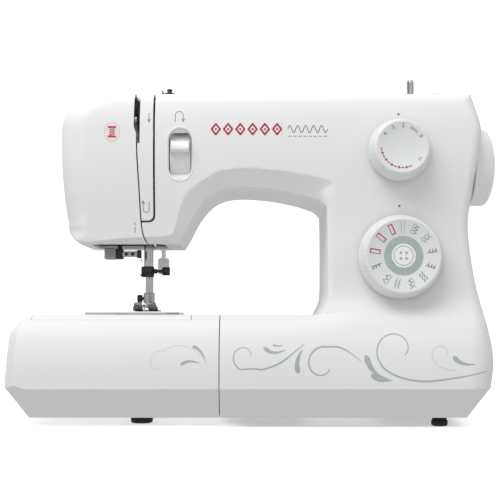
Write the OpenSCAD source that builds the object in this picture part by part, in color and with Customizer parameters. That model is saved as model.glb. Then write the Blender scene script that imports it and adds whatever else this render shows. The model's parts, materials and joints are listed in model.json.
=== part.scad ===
// Free-arm domestic sewing machine, in millimetres.
// +X is to the user's right, -Y is towards the user and +Z is up.
// The origin lies on the table, under the middle of the machine's box.

/* [Body] */
// Height of the bed and the free arm above the table
bed_top = 88; // [87:0.5:89]
// Height of the flat top of the arm
arm_top = 270; // [269:0.5:272]
// Thickness of the plastic covers
wall = 2.5; // [2:0.25:3]
// Gap between one cover and the next
seam = 0.3; // [0.2:0.1:0.4]

/* [Sewing head] */
// Place of the needle bar across the machine
needle_x = -92.5; // [-93:0.25:-92]
// Place of the needle bar from front to back
needle_y = 5; // [4.5:0.25:5.5]
// Radius of the needle bar and the presser bar
bar_r = 3.4; // [3.2:0.1:3.5]
// Radial running clearance of a shaft in its bore
fit = 0.06; // [0.03:0.01:0.1]

/* [Drive] */
// Height of the upper shaft, which the hand wheel turns
shaft_z = 213.5; // [213:0.5:214]
// Height of the lower shaft, in the free arm
lower_z = 45; // [44.5:0.5:45.5]
// Radius of the hand wheel
wheel_r = 33; // [31:0.5:34]

/* [Dials] */
// Place of both dials across the machine
dial_x = 114.5; // [113:0.5:116]
// Height of the stitch length dial
stitch_z = 220; // [219:0.5:221]
// Radius of the stitch length dial at its foot
stitch_r = 25; // [23:0.5:26]
// Height of the pattern dial
pattern_z = 134; // [133:0.5:135]
// Radius of the pattern dial at its foot
pattern_r = 33.5; // [31:0.5:34]

/* [Hidden] */
$fn = 48;

// Heights and places that follow from the driving dimensions
foot_h = 7.5;                  // rubber feet
pan_top = foot_h + 2.5;        // top of the base plate
crease_z = 31;                 // where the front turns in to the bottom
front_y = -75;                 // front of the base at the crease
back_y = 75;                   // back of the base
arm_front = -47;               // front of the arm
arm_back = 57;                 // back of the arm
dial_y = -49.4;                // back of the dials
split_y = needle_y;            // the covers part here
base_left = -29;               // left end of the fixed base
ext_left = -201;               // left end of the extension table
head_left = -164;              // left end of the head
head_z = 146;                  // underside of the head
column_x = 57;                 // inner side of the pillar
arm_z = 192;                   // highest point of the throat
seam_x = -96.5;                // between the face cover and the thread panel
presser_y = needle_y + 15;
hook_y = needle_y - 19;
plate_top = bed_top + 2;       // top of the needle plate
plate_front = -34.5;           // its front edge
frame_y = 26;                  // front of the casting's back wall
frame_t = 5;                   // its thickness
lift_x = needle_x + 8.8;       // presser lifter's pivot
lift_z = 168;
tray_y = [9, 44];              // top cover, front and back
tray_x = [-60, 122];           // top cover, left and right
winder = [130.5, -8];
free_y = [-36, 34];            // free arm, front and back
free_z = 30;                   // underside of the free arm
free_left = -187;
free_r = 22;                   // corners of its end

// ---- outlines ----

function arc(c, r, a, b, n = 6) =
    [for (i = [0:n]) let (t = a + (b - a) * i / n) [c.x + r * cos(t), c.y + r * sin(t)]];

// A smooth curve through the points p, with n steps between each two
function curve(p, n = 3) = concat([for (i = [0:len(p) - 2]) for (k = [0:n - 1])
    let (t = k / n, a = p[max(i - 1, 0)], b = p[i], c = p[i + 1], d = p[min(i + 2, len(p) - 1)])
    0.5 * (2 * b + (c - a) * t + (2 * a - 5 * b + 4 * c - d) * t * t
        + (3 * b - a - 3 * c + d) * t * t * t)], [p[len(p) - 1]]);

// The counterclockwise outline p, moved inwards by t
function inset(p, t) = [for (i = [0:len(p) - 1])
    let (n = len(p), a = p[(i + n - 1) % n], b = p[i], c = p[(i + 1) % n],
        u = (b - a) / norm(b - a), v = (c - b) / norm(c - b),
        m = [-u.y - v.y, u.x + v.x], h = 1 + u * v)
    b + m * t / h];

// Both tangents and both arcs of a belt round two pulleys
function belt(c1, r1, c2, r2, n = 16) =
    let (d = norm(c2 - c1), a = atan2(c2.y - c1.y, c2.x - c1.x), b = acos((r1 - r2) / d))
    concat(arc(c1, r1, a + b, a + 360 - b, n), arc(c2, r2, a - b, a + b, n));

right_side = curve([[189.5, crease_z], [192.2, 54], [188, 82], [177.5, 120], [173.5, 158],
    [177, 187], [184, 226], [184.8, 242], [178.5, arm_top]]);
throat = curve([[-64, head_z], [-58.5, 155], [-50, 171], [-39, 184], [-26, 190.5], [-10, arm_z],
    [12, 190.3], [32, 186.5], [47, 182], [55, 177], [column_x, 168], [column_x, 112],
    [55.5, 98], [50, bed_top]], 2);
// The machine from the front: X and Z
front_outline = concat([[base_left, foot_h], [174.5, foot_h]], right_side,
    arc([-134, arm_top - 30], 30, 90, 180), [[head_left, 205], [-161, 178]],
    arc([-145, head_z + 12], 12, 180, 270, 4), throat, [[base_left, bed_top]]);
// The machine from the side: Y and Z
side_outline = concat([[-56, foot_h], [57, foot_h]],
    curve([[back_y, crease_z], [73.5, 60], [66, 84], [59, 108], [arm_back, 140], [arm_back, 200],
        [56, 240], [53.5, 258], [46, arm_top]]),
    curve([[-30, arm_top], [-40, 263], [-45.5, 245], [arm_front, 220], [-46, 190], [-45, 160],
        [-46, 134], [-46.2, 114], [-47.8, 102], [-54.5, 92], [-64, 79], [-71.5, 60],
        [front_y, crease_z]]));
// The machine from above: X and Y. Its ends draw in a little towards the front
draw_in = 6;
plan_outline = concat([[-60, arm_front - 0.5], [-60, -80]],
    arc([170.3 - draw_in, -55], 22, -90, 0), arc([170.3, 55], 22, 0, 90),
    [[-60, 80], [-60, arm_back + 0.5]], arc([head_left + 28, 29.5], 28, 90, 180),
    arc([head_left + draw_in + 22, arm_front - 0.5 + 22], 22, 180, 270));

// The free arm from above: X and Y
free_plan = concat([[base_left + 5, free_y[0] - 0.4], [base_left + 5, free_y[1] + 0.4]],
    arc([free_left + free_r, free_y[1] + 0.4 - free_r], free_r, 90, 180),
    arc([free_left + free_r, free_y[0] - 0.4 + free_r], free_r, 180, 270));

// ---- helpers ----

// A shape drawn in X and Z, run along Y from a to b
module along_y(a, b) translate([0, b, 0]) rotate([90, 0, 0]) linear_extrude(b - a) children();
// A shape drawn in Y and Z, run along X from a to b
module along_x(a, b) translate([a, 0, 0]) rotate([90, 0, 90]) linear_extrude(b - a) children();
// A box between two corners
module box(a, b) translate(a) cube(b - a);
module rod_x(y, z, r, a, b) translate([a, y, z]) rotate([0, 90, 0]) cylinder(r = r, h = b - a);
module rod_y(x, z, r, a, b) translate([x, b, z]) rotate([90, 0, 0]) cylinder(r = r, h = b - a);
module rod_z(x, y, r, a, b) translate([x, y, a]) cylinder(r = r, h = b - a);

module body(t = 0) intersection() {
    along_y(-90, 90) polygon(inset(front_outline, t));
    along_x(-220, 220) polygon(inset(side_outline, t));
    translate([0, 0, -10]) linear_extrude(300) polygon(inset(plan_outline, t));
}

// The right-hand edge of the face cover, widened where the take-up lever runs
function face_edge(gap) = [[seam_x - gap, arm_top + 5], [seam_x - gap, 200], [-94 - gap, 165],
    [-92 - gap, 152], [-89 - gap, head_z - 5]];
module face_region(gap) polygon(concat([[-230, head_z - 5], [-230, arm_top + 5]], face_edge(gap)));

// The room for the hand wheel in the right side
module wheel_pocket(t) rod_x(needle_y, shaft_z, wheel_r + 2.5 + t, 178 - t, 215);

module cover_shell() difference() {
    union() {
        difference() {
            body();
            body(wall);
        }
        intersection() {
            body();
            wheel_pocket(wall);
        }
    }
    wheel_pocket(0);
    rod_x(needle_y, shaft_z, 7, 150, 200);
    // way through to the free arm
    box([base_left - 5, free_y[0] + 5, free_z + 4], [base_left + 10, free_y[1] - 3, bed_top - 4]);
    // mouth of the head, for the needle bar and the presser bar
    box([-122, -9, head_z - 5], [-76, frame_y + 8, head_z + 5]);
    // the base plate closes the bottom
    box([-40, -90, 0], [210, 90, pan_top + seam]);
}

// ---- covers ----

module front_cover() color("whitesmoke") difference() {
    cover_shell();
    box([-230, split_y - seam / 2, 0], [230, 90, 300]);
    along_y(-90, 90) face_region(-1.4);
    // thread panel and the slot on its right
    box([-100, -90, 163], [-81.5, -11, 300]);
    rod_y(dial_x, stitch_z, 4, -90, 0);
    rod_y(dial_x, pattern_z, 4, -90, 0);
    tension_window(10.25, 11.4);
    box([winder.x - 4, winder.y - 4, 260], [winder.x + 10, winder.y + 4, 280]);
}

// Upright slot with round ends; r is its half width and h is half of its straight part
module tension_window(r, h) hull() for (dz = [-h, h]) rod_y(-62, 217.5 + dz, r, -60, -30);

module rear_cover() color("whitesmoke") difference() {
    cover_shell();
    box([-230, -90, 0], [230, split_y + seam / 2, 300]);
    along_y(-90, 90) face_region(-seam);
    box([tray_x[0] - seam, tray_y[0] - seam, 255], [tray_x[1] + seam, tray_y[1] + seam, 280]);
    rod_y(lift_x, lift_z, 3, 40, 70);
    for (p = screw_places) rod_y(p.x, p.y, 3.7, 50, 60);
    // hole and seat of the power socket
    box([180, 11.8, 37.8], [200, 50.2, 60.2]);
    box([190.7, 9.7, 35.7], [200, 52.3, 62.3]);
}

module face_cover() color("whitesmoke") difference() {
    intersection() {
        cover_shell();
        along_y(-90, 90) face_region(0);
    }
    // slot for the take-up lever
    box([seam_x - 4.2, -90, 238], [seam_x + 5, -20, 268.5]);
}

// The narrow panel between the two thread slots
module thread_panel() color("whitesmoke") difference() {
    intersection() {
        cover_shell();
        box([seam_x - 5, -90, 164.5], [-83.2, -12, 300]);
    }
    along_y(-90, 90) face_region(-1.4);
}

// A sunk tray in the top of the arm, with two ears for the handle
module top_cover() color("whitesmoke") {
    difference() {
        box([tray_x[0], tray_y[0], 259.5], [tray_x[1], tray_y[1], arm_top]);
        box([tray_x[0] + 3, tray_y[0] + 3, 262], [tray_x[1] - 3, tray_y[1] - 3, arm_top + 1]);
    }
    for (x = ear_x) difference() {
        union() {
            rod_x(handle_y, handle_z, 6, x, x + 5);
            box([x, handle_y - 2, 262], [x + 5, handle_y + 6, handle_z]);
        }
        rod_x(handle_y, handle_z, 2.5, x - 1, x + 6);
    }
}

module free_arm_cover() color("whitesmoke") difference() {
    free_arm_solid(0);
    free_arm_solid(wall);
    box([base_left - wall - 1, -90, free_z + wall], [base_left + 1, 90, bed_top - wall]);
    box([-118, -32, bed_top - 5], [-67, 30, bed_top + 1]);
}

module free_arm_solid(t) intersection() {
    along_x(free_left, base_left - seam) polygon(inset(concat([[free_y[0] + 6, free_z]],
        arc([free_y[1] - 6, free_z + 6], 6, -90, 0), arc([free_y[1] - 3, bed_top - 3], 3, 0, 90),
        arc([free_y[0] + 3, bed_top - 3], 3, 90, 180),
        arc([free_y[0] + 6, free_z + 6], 6, 180, 265)), t));
    linear_extrude(200) polygon(inset(free_plan, t));
}

module base_plate() color("gainsboro") {
    intersection() {
        body();
        box([base_left, -90, foot_h], [210, 90, pan_top]);
    }
    box([-125, -30, foot_h], [base_left, 30, pan_top]);
}

foot_places = [[-94, -20, 9], [-94, 20, 9], [145, -44, 6.5], [145, 44, 6.5]];
module rubber_feet() color("black") for (p = foot_places) rod_z(p.x, p.y, p.z, 0, foot_h);

// ---- extension table ----

// The table's front and back faces run on from the base
table_side = concat([[-56, foot_h], [57, foot_h]],
    curve([[back_y, crease_z], [74, 52], [69, 72], [60, 84], [48, bed_top]]),
    curve([[-48, bed_top], [-60, 84], [-69, 72], [-74, 52], [front_y, crease_z]]));
table_front = concat([[base_left - 0.6, foot_h], [base_left - 0.6, bed_top]],
    arc([ext_left + 20, bed_top - 18], 18, 90, 175), [[ext_left, crease_z]],
    [[ext_left + 7, 18], [ext_left + 19, foot_h]]);
table_plan = concat([[base_left - 0.6, -80], [base_left - 0.6, 80]],
    arc([ext_left + 22, 53], 22, 90, 180), arc([ext_left + 25, -53], 22, 180, 270));

module table_solid(t) intersection() {
    along_x(-220, 0) polygon(inset(table_side, t));
    along_y(-90, 90) polygon(inset([for (i = [len(table_front) - 1:-1:0]) table_front[i]], -t));
    linear_extrude(200) polygon(inset([for (i = [len(table_plan) - 1:-1:0]) table_plan[i]], -t));
}

lid_x = [-178, -52];
lid_y = [-57, -42];
module extension_table() color("whitesmoke") difference() {
    table_solid(0);
    // the free arm and the base plate slide in here
    linear_extrude(100) polygon(inset(free_plan, -1));
    // storage bay in the front, hollow at the back
    intersection() {
        table_solid(wall);
        union() {
            box([-190, -90, 0], [base_left - 4, free_y[0] - 3.5, 100]);
            box([-190, free_y[1] + 3.5, 0], [base_left - 4, 90, 100]);
        }
    }
    box([lid_x[0] - seam, lid_y[0] - seam, bed_top - 6], [lid_x[1] + seam, lid_y[1] + seam, 100]);
}

module storage_lid() color("whitesmoke") difference() {
    intersection() {
        table_solid(0);
        box([lid_x[0], lid_y[0], bed_top - 5], [lid_x[1], lid_y[1], 100]);
    }
    intersection() {
        table_solid(2);
        box([lid_x[0] + 2, lid_y[0] + 2, bed_top - 9], [lid_x[1] - 2, lid_y[1] - 4, 100]);
    }
}

// ---- frame ----

module main_frame() color("silver") difference() {
    union() {
        // back wall: bed, pillar and arm, and a finger for the lamp
        box([-120, frame_y, 35], [157, frame_y + frame_t, 60]);
        box([78, frame_y, pan_top], [157, frame_y + frame_t, 258]);
        box([-125, frame_y, 199], [157, frame_y + frame_t, 258]);
        box([-121, frame_y, 150], [-72, frame_y + frame_t, 200]);
        box([-150, frame_y, 204], [-120, frame_y + frame_t, 226]);
        // lugs for the upper shaft
        for (x = upper_lugs) box([x, needle_y - 12, shaft_z - 12], [x + 8, frame_y, shaft_z + 12]);
        // lugs for the lower shaft
        for (x = lower_lugs) box([x, needle_y - 11, 35], [x + 8, frame_y, lower_z + 11]);
        // bearing of the hook
        box([needle_x - 9, hook_y - 8, 57.5], [needle_x + 9, frame_y, 61]);
        // guides of the presser bar
        for (z = [150, 238]) box([needle_x - 6.5, presser_y - 6, z], [needle_x + 6.5, frame_y, z + 8]);
        // guide of the threader
        box([-120, -7, 176], [-111, frame_y, 184]);
        // bracket and stud of the take-up lever
        box([-107, -6, 221], [-103, frame_y, 235]);
        rod_x(0, 228, 2.5, -103.5, -97.6);
        // pivot of the needle bar's cradle
        rod_y(needle_x, 256, 2.5, needle_y + 4.5, frame_y + 1);
        // posts of the control plate and the tension bracket
        for (p = control_posts) rod_y(p.x, p.y, 4, -9, frame_y + 1);
        rod_y(-62, 246, 4, -2.5, frame_y + 1);
        // feet of the casting
        for (x = [84, 148]) box([x, -30, pan_top], [x + 9, frame_y + 1, 16]);
        // shelf that the winder arm slides on
        box([116, -14, 253.5], [152, frame_y + 1, 256.7]);
        // lamp
        rod_z(-138, 12, 9, 204, 226);
        box([-146, 12, 206], [-130, frame_y + 1, 224]);
        rod_z(-138, 12, 6.5, 184, 205);
    }
    for (x = upper_lugs) rod_x(needle_y, shaft_z, 8 + fit, x - 1, x + 9);
    for (x = lower_lugs) rod_x(needle_y, lower_z, 7 + fit, x - 1, x + 9);
    rod_z(needle_x, hook_y, 3 + fit, 50, 70);
    rod_z(needle_x, presser_y, bar_r + fit, 140, 250);
    rod_z(-115.5, -2, 2 + fit, 170, 190);
    rod_y(lift_x, lift_z, 2.5 + fit, 0, 60);
}
upper_lugs = [-47, 146];
lower_lugs = [-80, 40];
control_posts = [[88, 238], [142, 238], [88, 114], [142, 114]];

module control_plate() color("silver") difference() {
    box([82, -12, 108], [148, -9, 244]);
    rod_y(dial_x, stitch_z, 3 + fit, -20, 0);
    rod_y(dial_x, pattern_z, 3 + fit, -20, 0);
}

module tension_bracket() color("silver") difference() {
    union() {
        box([-73.4, -4.5, 200], [-50.6, -2.5, 252]);
        for (x = [-73.4, -52]) box([x, -29, 208], [x + 1.4, -4, 227]);
    }
    rod_x(tension_y, 217.5, 3 + fit, -80, -40);
}

screw_places = [[-70, 208], [40, 215], [72, 150], [160, 150]];
module cover_screws() color("silver") for (p = screw_places)
    difference() {
        rod_y(p.x, p.y, 3.5, 50, 57.2);
        box([p.x - 2.6, 56.4, p.y - 0.5], [p.x + 2.6, 58, p.y + 0.5]);
        box([p.x - 0.5, 56.4, p.y - 2.6], [p.x + 0.5, 58, p.y + 2.6]);
    }

// ---- top of the arm ----

handle_y = 16;
handle_z = 275;
ear_x = [-34.5, 33.5];
handle_x = [-40.5, 44.5];
module handle() color("whitesmoke") difference() {
    union() {
        for (x = [handle_x[0], handle_x[1] - 5.5]) {
            rod_x(handle_y, handle_z, 5, x, x + 5.5);
            box([x, handle_y, 270], [x + 5.5, 38, 278.5]);
        }
        box([handle_x[0], 30, 268.5], [handle_x[1], 40, 278.5]);
    }
    for (x = handle_x) rod_x(handle_y, handle_z, 2.5 + fit, x - 10, x + 10);
}
module handle_pins() color("silver") {
    rod_x(handle_y, handle_z, 2.48, handle_x[0] - 0.5, ear_x[0] + 5);
    rod_x(handle_y, handle_z, 2.48, ear_x[1], handle_x[1] + 0.5);
}

spool_y = 27;
spool_z = 273;
module spool_pin() color("whitesmoke") {
    rod_x(spool_y, spool_z, 3, 56, 112);
    box([112, spool_y - 5, 262], [118, spool_y + 5, spool_z + 5]);
}
module spool_cap() color("whitesmoke") difference() {
    union() {
        rod_x(spool_y, spool_z, 9, 66, 69);
        rod_x(spool_y, spool_z, 5.5, 69, 76);
    }
    rod_x(spool_y, spool_z, 3 + fit, 60, 80);
}

module thread_guide() color("silver") {
    rod_z(-73, -16, 1.8, arm_top, 277);
    rod_z(-73, -16, 4.6, 273, 274.5);
    box([-80, -19, arm_top], [-66, -13, arm_top + 1]);
}

module winder_arm() color("silver") difference() {
    box([winder.x - 10, winder.y - 9, 257], [winder.x + 12, winder.y + 9, 261]);
    rod_z(winder.x, winder.y, 2 + fit, 250, 270);
}
module winder_spindle() color("silver") {
    rod_z(winder.x, winder.y, 2, 257.2, 261.5);
    rod_z(winder.x, winder.y, 3, 261.2, 287);
    rod_z(winder.x, winder.y, 6.5, 271, 272.5);
}
module winder_stop() color("whitesmoke") rod_z(winder.x + 20, winder.y, 5.4, arm_top, 275.6);

// ---- power ----

module power_socket() color("dimgray") difference() {
    union() {
        box([178, 12, 38], [191, 50, 60]);
        box([190.8, 10, 36], [193.6, 52, 62]);
    }
    box([183, 33, 43], [200, 48, 55]);
    box([185.5, 14, 42], [200, 29, 56]);
}
// A rocker whose upper half stands out, on a pin through it
module power_switch() color("black") difference() {
    along_y(15, 28) polygon([[188, 43.3], [192.9, 43.3], [193.7, 49], [195.3, 54.7], [188, 54.7]]);
    rod_y(191.5, 49, 0.8, 10, 30);
}
module thread_cutter() color("dimgray") box([-166.2, 18, 212], [head_left, 24, 222]);

// ---- dials ----

// A tapered knob on its shaft, turned as one profile
module dial(z, r) translate([dial_x, dial_y, z]) rotate([90, 0, 0]) rotate_extrude()
    polygon([[0, -41], [3, -41], [3, 0], [r, 0], [r, 1.5], [r - 1.5, 8], [r - 4, 17.5], [0, 17.5]]);
module stitch_dial() color("whitesmoke") dial(stitch_z, stitch_r);
module pattern_dial() color("whitesmoke") dial(pattern_z, pattern_r);

// A stack of cam discs on a dial's shaft
module cams(z, radii) for (i = [0:len(radii) - 1]) difference() {
    rod_y(dial_x + radii[i].y, z, radii[i].x, -18 - 3 * i, -15 - 3 * i);
    rod_y(dial_x, z, 3.02, -60, 0);
}
module stitch_cam() color("ivory") cams(stitch_z, [[12, 2], [14, 0]]);
module pattern_cams() color("ivory") cams(pattern_z, [[15, 1], [18, 0], [15, -2], [17, 1], [14, 2]]);

tension_y = -23.5;
module tension_dial() color("whitesmoke") {
    difference() {
        rod_x(tension_y, 217.5, 21.5, -71, -53);
        box([-80, -20, 180], [-40, 20, 250]);
        translate([0, tension_y, 217.5]) rotate([45, 0, 0]) box([-80, -4, 8], [-40, 40, 40]);
    }
    rod_x(tension_y, 217.5, 3, -74.5, -49.5);
    along_x(-71, -53) polygon([[-43, 219], [-51, 219.5], [-52, 222], [-48, 228], [-43, 228]]);
}

// ---- drive ----

module hand_wheel() color("whitesmoke") translate([0, needle_y, shaft_z]) rotate([0, 90, 0])
    rotate_extrude() polygon([[5.02, 181], [wheel_r, 181], [wheel_r, 193], [wheel_r - 2, 197],
        [wheel_r - 8, 200], [wheel_r - 14, 201], [0, 201], [0, 192], [5.02, 192]]);
module main_shaft() color("silver") rod_x(needle_y, shaft_z, 5, -79, 192);
module ring_x(y, z, r, bore, a, b) difference() {
    rod_x(y, z, r, a, b);
    rod_x(y, z, bore, a - 1, b + 1);
}
module crank_disc() color("silver") {
    ring_x(needle_y, shaft_z, 16, 5.02, -79, -74);
    rod_x(needle_y, shaft_z - 11, 2.5, -82, -79);
}
module timing_pulley() color("dimgray") {
    ring_x(needle_y, shaft_z, 14, 5.02, 61.5, 71.5);
    ring_x(needle_y, shaft_z, 16.5, 5.02, 71.5, 72.5);
}
module drive_pulley() color("dimgray") {
    ring_x(needle_y, shaft_z, 27, 5.02, 161, 168);
    ring_x(needle_y, shaft_z, 29, 5.02, 168, 169);
}
module shaft_bushes() color("peru") {
    for (x = upper_lugs) ring_x(needle_y, shaft_z, 8, 5 + fit, x, x + 8);
    for (x = lower_lugs) ring_x(needle_y, lower_z, 7, 4 + fit, x, x + 8);
}
module belt_loop(c1, r1, c2, r2, t, a, b) along_x(a, b) difference() {
    polygon(belt(c1, r1 + t, c2, r2 + t));
    polygon(belt(c1, r1, c2, r2));
}
module timing_belt() color("dimgray")
    belt_loop([needle_y, shaft_z], 14.5, [needle_y, lower_z], 14.5, 1.6, 62, 71);
module motor_belt() color("dimgray")
    belt_loop([needle_y, shaft_z], 27.7, [motor_y, motor_z], 7.4, 2, 162, 167.5);

motor_y = 2;
motor_z = 40;
module motor() color("dimgray") difference() {
    union() {
        rod_x(motor_y, motor_z, 22, 100, 154);
        box([108, motor_y - 14, pan_top], [146, motor_y + 14, 30]);
    }
    rod_x(motor_y, motor_z, 4 + fit, 90, 160);
}
module motor_rotor() color("silver") {
    rod_x(motor_y, motor_z, 4, 96, 161);
    rod_x(motor_y, motor_z, 6.9, 161, 168);
    rod_x(motor_y, motor_z, 8.5, 168, 169);
}
module lower_shaft() color("silver") rod_x(needle_y, lower_z, 4, -103, 74);
module lower_pulley() color("dimgray") ring_x(needle_y, lower_z, 14, 4.02, 61.5, 71.5);

// A gear's outline: n teeth of height h outside the radius r
function teeth(n, r, h) = [for (i = [0:n - 1]) for (k = [0:3])
    let (a = (i + [0, 0.22, 0.45, 0.68][k]) * 360 / n, q = r + [0, h, h, 0][k])
    [q * cos(a), q * sin(a)]];
module hook_gear() color("peru") difference() {
    translate([needle_x - 5, needle_y, lower_z]) rotate([0, 90, 0])
        linear_extrude(10) polygon(teeth(22, 10, 1.3));
    rod_x(needle_y, lower_z, 4.02, -120, -80);
}

// ---- hook and bobbin ----

module hook() color("silver") translate([needle_x, hook_y, 0]) {
    difference() {
        rod_z(0, 0, 16, 62, 79);
        rod_z(0, 0, 14.2, 64, 80);
        // opening behind the hook's point
        rotate(70) box([10, -6, 71], [20, 12, 76]);
    }
    rod_z(0, 0, 3, 38, 62.5);
    translate([0, 0, 40]) linear_extrude(10) polygon(teeth(11, 6.2, 1.1));
}
module bobbin_case() color("dimgray") translate([needle_x, hook_y, 0]) difference() {
    union() {
        rod_z(0, 0, 13.8, 64.5, 79.5);
        rod_z(0, 0, 15.2, 79.5, 82);
    }
    rod_z(0, 0, 11, 67, 90);
}
module bobbin() color("gainsboro") translate([needle_x, hook_y, 0]) difference() {
    union() {
        rod_z(0, 0, 4.5, 67.5, 79);
        for (z = [67.5, 78]) rod_z(0, 0, 10.3, z, z + 1);
    }
    rod_z(0, 0, 3, 60, 90);
}
module bobbin_cover() color("lightgray", 0.5)
    box([needle_x - 20, plate_front, bed_top + 0.4], [needle_x + 20, -3.9, plate_top]);
module needle_plate() color("silver") difference() {
    union() {
        box([-139, plate_front, bed_top], [-63, 32.5, plate_top]);
        for (x = [-22, 17.5]) box([needle_x + x, -29, bed_top - 1.5], [needle_x + x + 4.5, -5, bed_top]);
    }
    box([needle_x - 20.4, plate_front - 1, bed_top], [needle_x + 20.4, -3.5, plate_top + 1]);
    hull() for (x = [-3.4, 3.4]) rod_z(needle_x + x, needle_y, 1.3, bed_top - 1, plate_top + 1);
    for (s = [-1, 1]) box([needle_x + s * 6.75 - 2.2, -1.8, bed_top - 1],
        [needle_x + s * 6.75 + 2.2, 23.8, plate_top + 1]);
}
module feed_dog() color("silver") {
    for (s = [-1, 1]) along_x(needle_x + s * 6.75 - 1.25, needle_x + s * 6.75 + 1.25)
        polygon(concat([[1, 83], [20.6, 83]],
            [for (i = [13:-1:0]) each [[1.4 + i * 1.4, 89.2], [1 + i * 1.4, 88.2]]]));
    box([needle_x - 8, 9, 80.5], [needle_x + 8, 20, 83.2]);
    box([needle_x + 7.9, 12, 80.5], [needle_x + 20, 18, 83.2]);
    // post above the feed bar, which lifts it
    box([needle_x + 15.5, 13, 77.2], [needle_x + 18.5, 17, 80.6]);
}
module feed_bar() color("silver") {
    box([needle_x + 14, -3, 70], [needle_x + 20, 22, 76]);
    box([needle_x + 19, 6, 70], [10, 12, 76]);
}

// ---- sewing head ----

cradle_w = 5;
module needle_cradle() color("silver") difference() {
    union() {
        box([needle_x - cradle_w, needle_y + 5, 158], [needle_x + cradle_w, needle_y + 8, 262]);
        for (z = [158, 236]) box([needle_x - cradle_w, needle_y - 4.8, z],
            [needle_x + cradle_w, needle_y + 5.2, z + 10]);
    }
    rod_z(needle_x, needle_y, bar_r + fit, 150, 250);
    rod_y(needle_x, 256, 2.5 + fit, 0, 20);
}
module needle_bar() color("silver") {
    difference() {
        rod_z(needle_x, needle_y, bar_r, 121, 262);
        rod_z(needle_x, needle_y, 1.05, 110, 128);
    }
    // driver on the bar, and the link to the crank
    difference() {
        box([needle_x - 4.5, needle_y - 4.8, 200], [needle_x + 8.5, needle_y + 4.5, 208]);
        rod_z(needle_x, needle_y, bar_r - 0.5, 190, 210);
    }
    box([needle_x + 5.5, needle_y - 4, 200], [needle_x + 8.5, needle_y + 4, 217]);
}
module needle_clamp() color("silver") {
    difference() {
        rod_z(needle_x, needle_y, 5.6, 120, 129);
        rod_z(needle_x, needle_y, bar_r + 0.03, 121, 140);
        rod_z(needle_x, needle_y, 1.1, 110, 125);
    }
    rod_x(needle_y, 125, 2, needle_x + 5.4, needle_x + 10);
    rod_x(needle_y, 125, 1.2, needle_x + 9.9, needle_x + 13);
    rod_x(needle_y, 125, 3.6, needle_x + 12.8, needle_x + 19);
}
module needle() color("silver") {
    rod_z(needle_x, needle_y, 1, 108, 127);
    translate([needle_x, needle_y, 105.5]) cylinder(r1 = 0.45, r2 = 1, h = 2.6);
    rod_z(needle_x, needle_y, 0.45, 95.5, 105.6);
    translate([needle_x, needle_y, 93]) cylinder(r1 = 0.08, r2 = 0.45, h = 2.6);
}
module take_up_lever() color("silver") difference() {
    along_x(-99.8, -97.8) polygon(concat(arc([0, 228], 5, -100, 80, 8),
        [[-34, 248.5]], arc([-38, 246.4], 3.2, 75, 255, 8)));
    rod_x(0, 228, 2.5 + fit, -105, -90);
    rod_x(-38, 246.4, 1.4, -105, -90);
}
module presser_bar() color("silver") {
    rod_z(needle_x, presser_y, bar_r, 98, 246.8);
    difference() {
        union() {
            rod_z(needle_x, presser_y, 5.6, 172.45, 182);
            box([needle_x, presser_y - 3, 172.45], [needle_x + 20, presser_y + 3, 178]);
        }
        rod_z(needle_x, presser_y, bar_r - 0.5, 160, 190);
    }
}
module presser_ankle() color("silver") {
    difference() {
        union() {
            rod_z(needle_x, presser_y, 5, 97.8, 107);
            box([needle_x - 4, presser_y - 7.5, 97.8], [needle_x + 4, presser_y, 107]);
            box([needle_x - 2.6, presser_y - 8, 93.6], [needle_x + 2.6, presser_y - 2, 98]);
        }
        rod_z(needle_x, presser_y, bar_r + 0.03, 98, 120);
        rod_x(foot_pin_y, foot_pin_z, 1.06, -110, -80);
    }
    rod_x(presser_y - 3, 102, 1.3, needle_x - 6, needle_x - 3.9);
    rod_x(presser_y - 3, 102, 3.3, needle_x - 10, needle_x - 5.8);
}
foot_pin_y = 15.5;
foot_pin_z = 95.2;
module presser_foot() color("silver") {
    difference() {
        union() {
            along_x(needle_x - 10.5, needle_x + 10.5) polygon(concat([[21, 90.7], [21, 92.2]],
                [[-6, 92.2], [-10, 92.8]], [[-16.5, 98.2], [-17.8, 97.4]], [[-12, 91.8], [-8, 90.7]]));
            for (s = [-1, 1]) box([needle_x + s * 4.2 - 1, 12.5, 92], [needle_x + s * 4.2 + 1, 18.5, 97]);
        }
        // needle slot, and the gap between the toes
        box([needle_x - 4.6, needle_y - 2.2, 80], [needle_x + 4.6, needle_y + 2.2, 100]);
        box([needle_x - 2.5, -20, 80], [needle_x + 2.5, needle_y, 100]);
    }
    rod_x(foot_pin_y, foot_pin_z, 1, needle_x - 3.4, needle_x + 3.4);
}
module presser_lifter() color("gainsboro") {
    rod_y(lift_x, lift_z, 2.5, presser_y - 3, 58.2);
    rod_y(lift_x, lift_z, 6, 57.8, 61);
    box([lift_x - 1.8, 58, 138], [lift_x + 1.8, 61, lift_z]);
    box([lift_x - 5.2, 58, 124.5], [lift_x + 5.2, 61, 139.5]);
    // cam that raises the presser bar
    rod_y(lift_x, lift_z, 3.8, presser_y - 3, presser_y + 3);
    rod_y(lift_x + 8, lift_z, 2.8, presser_y - 3, presser_y + 3);
    box([lift_x, presser_y - 3, lift_z - 2.4], [lift_x + 8, presser_y + 3, lift_z + 2.4]);
}
module needle_threader() color("dimgray") {
    rod_z(-115.5, -2, 2, 135, 232);
    box([-128, -7, 134.5], [-118.5, 3, 144.5]);
    box([-119, -4, 137], [-113, 0, 142]);
    box([-114, -6, 136.5], [-97, -2.8, 141.5]);
}

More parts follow.
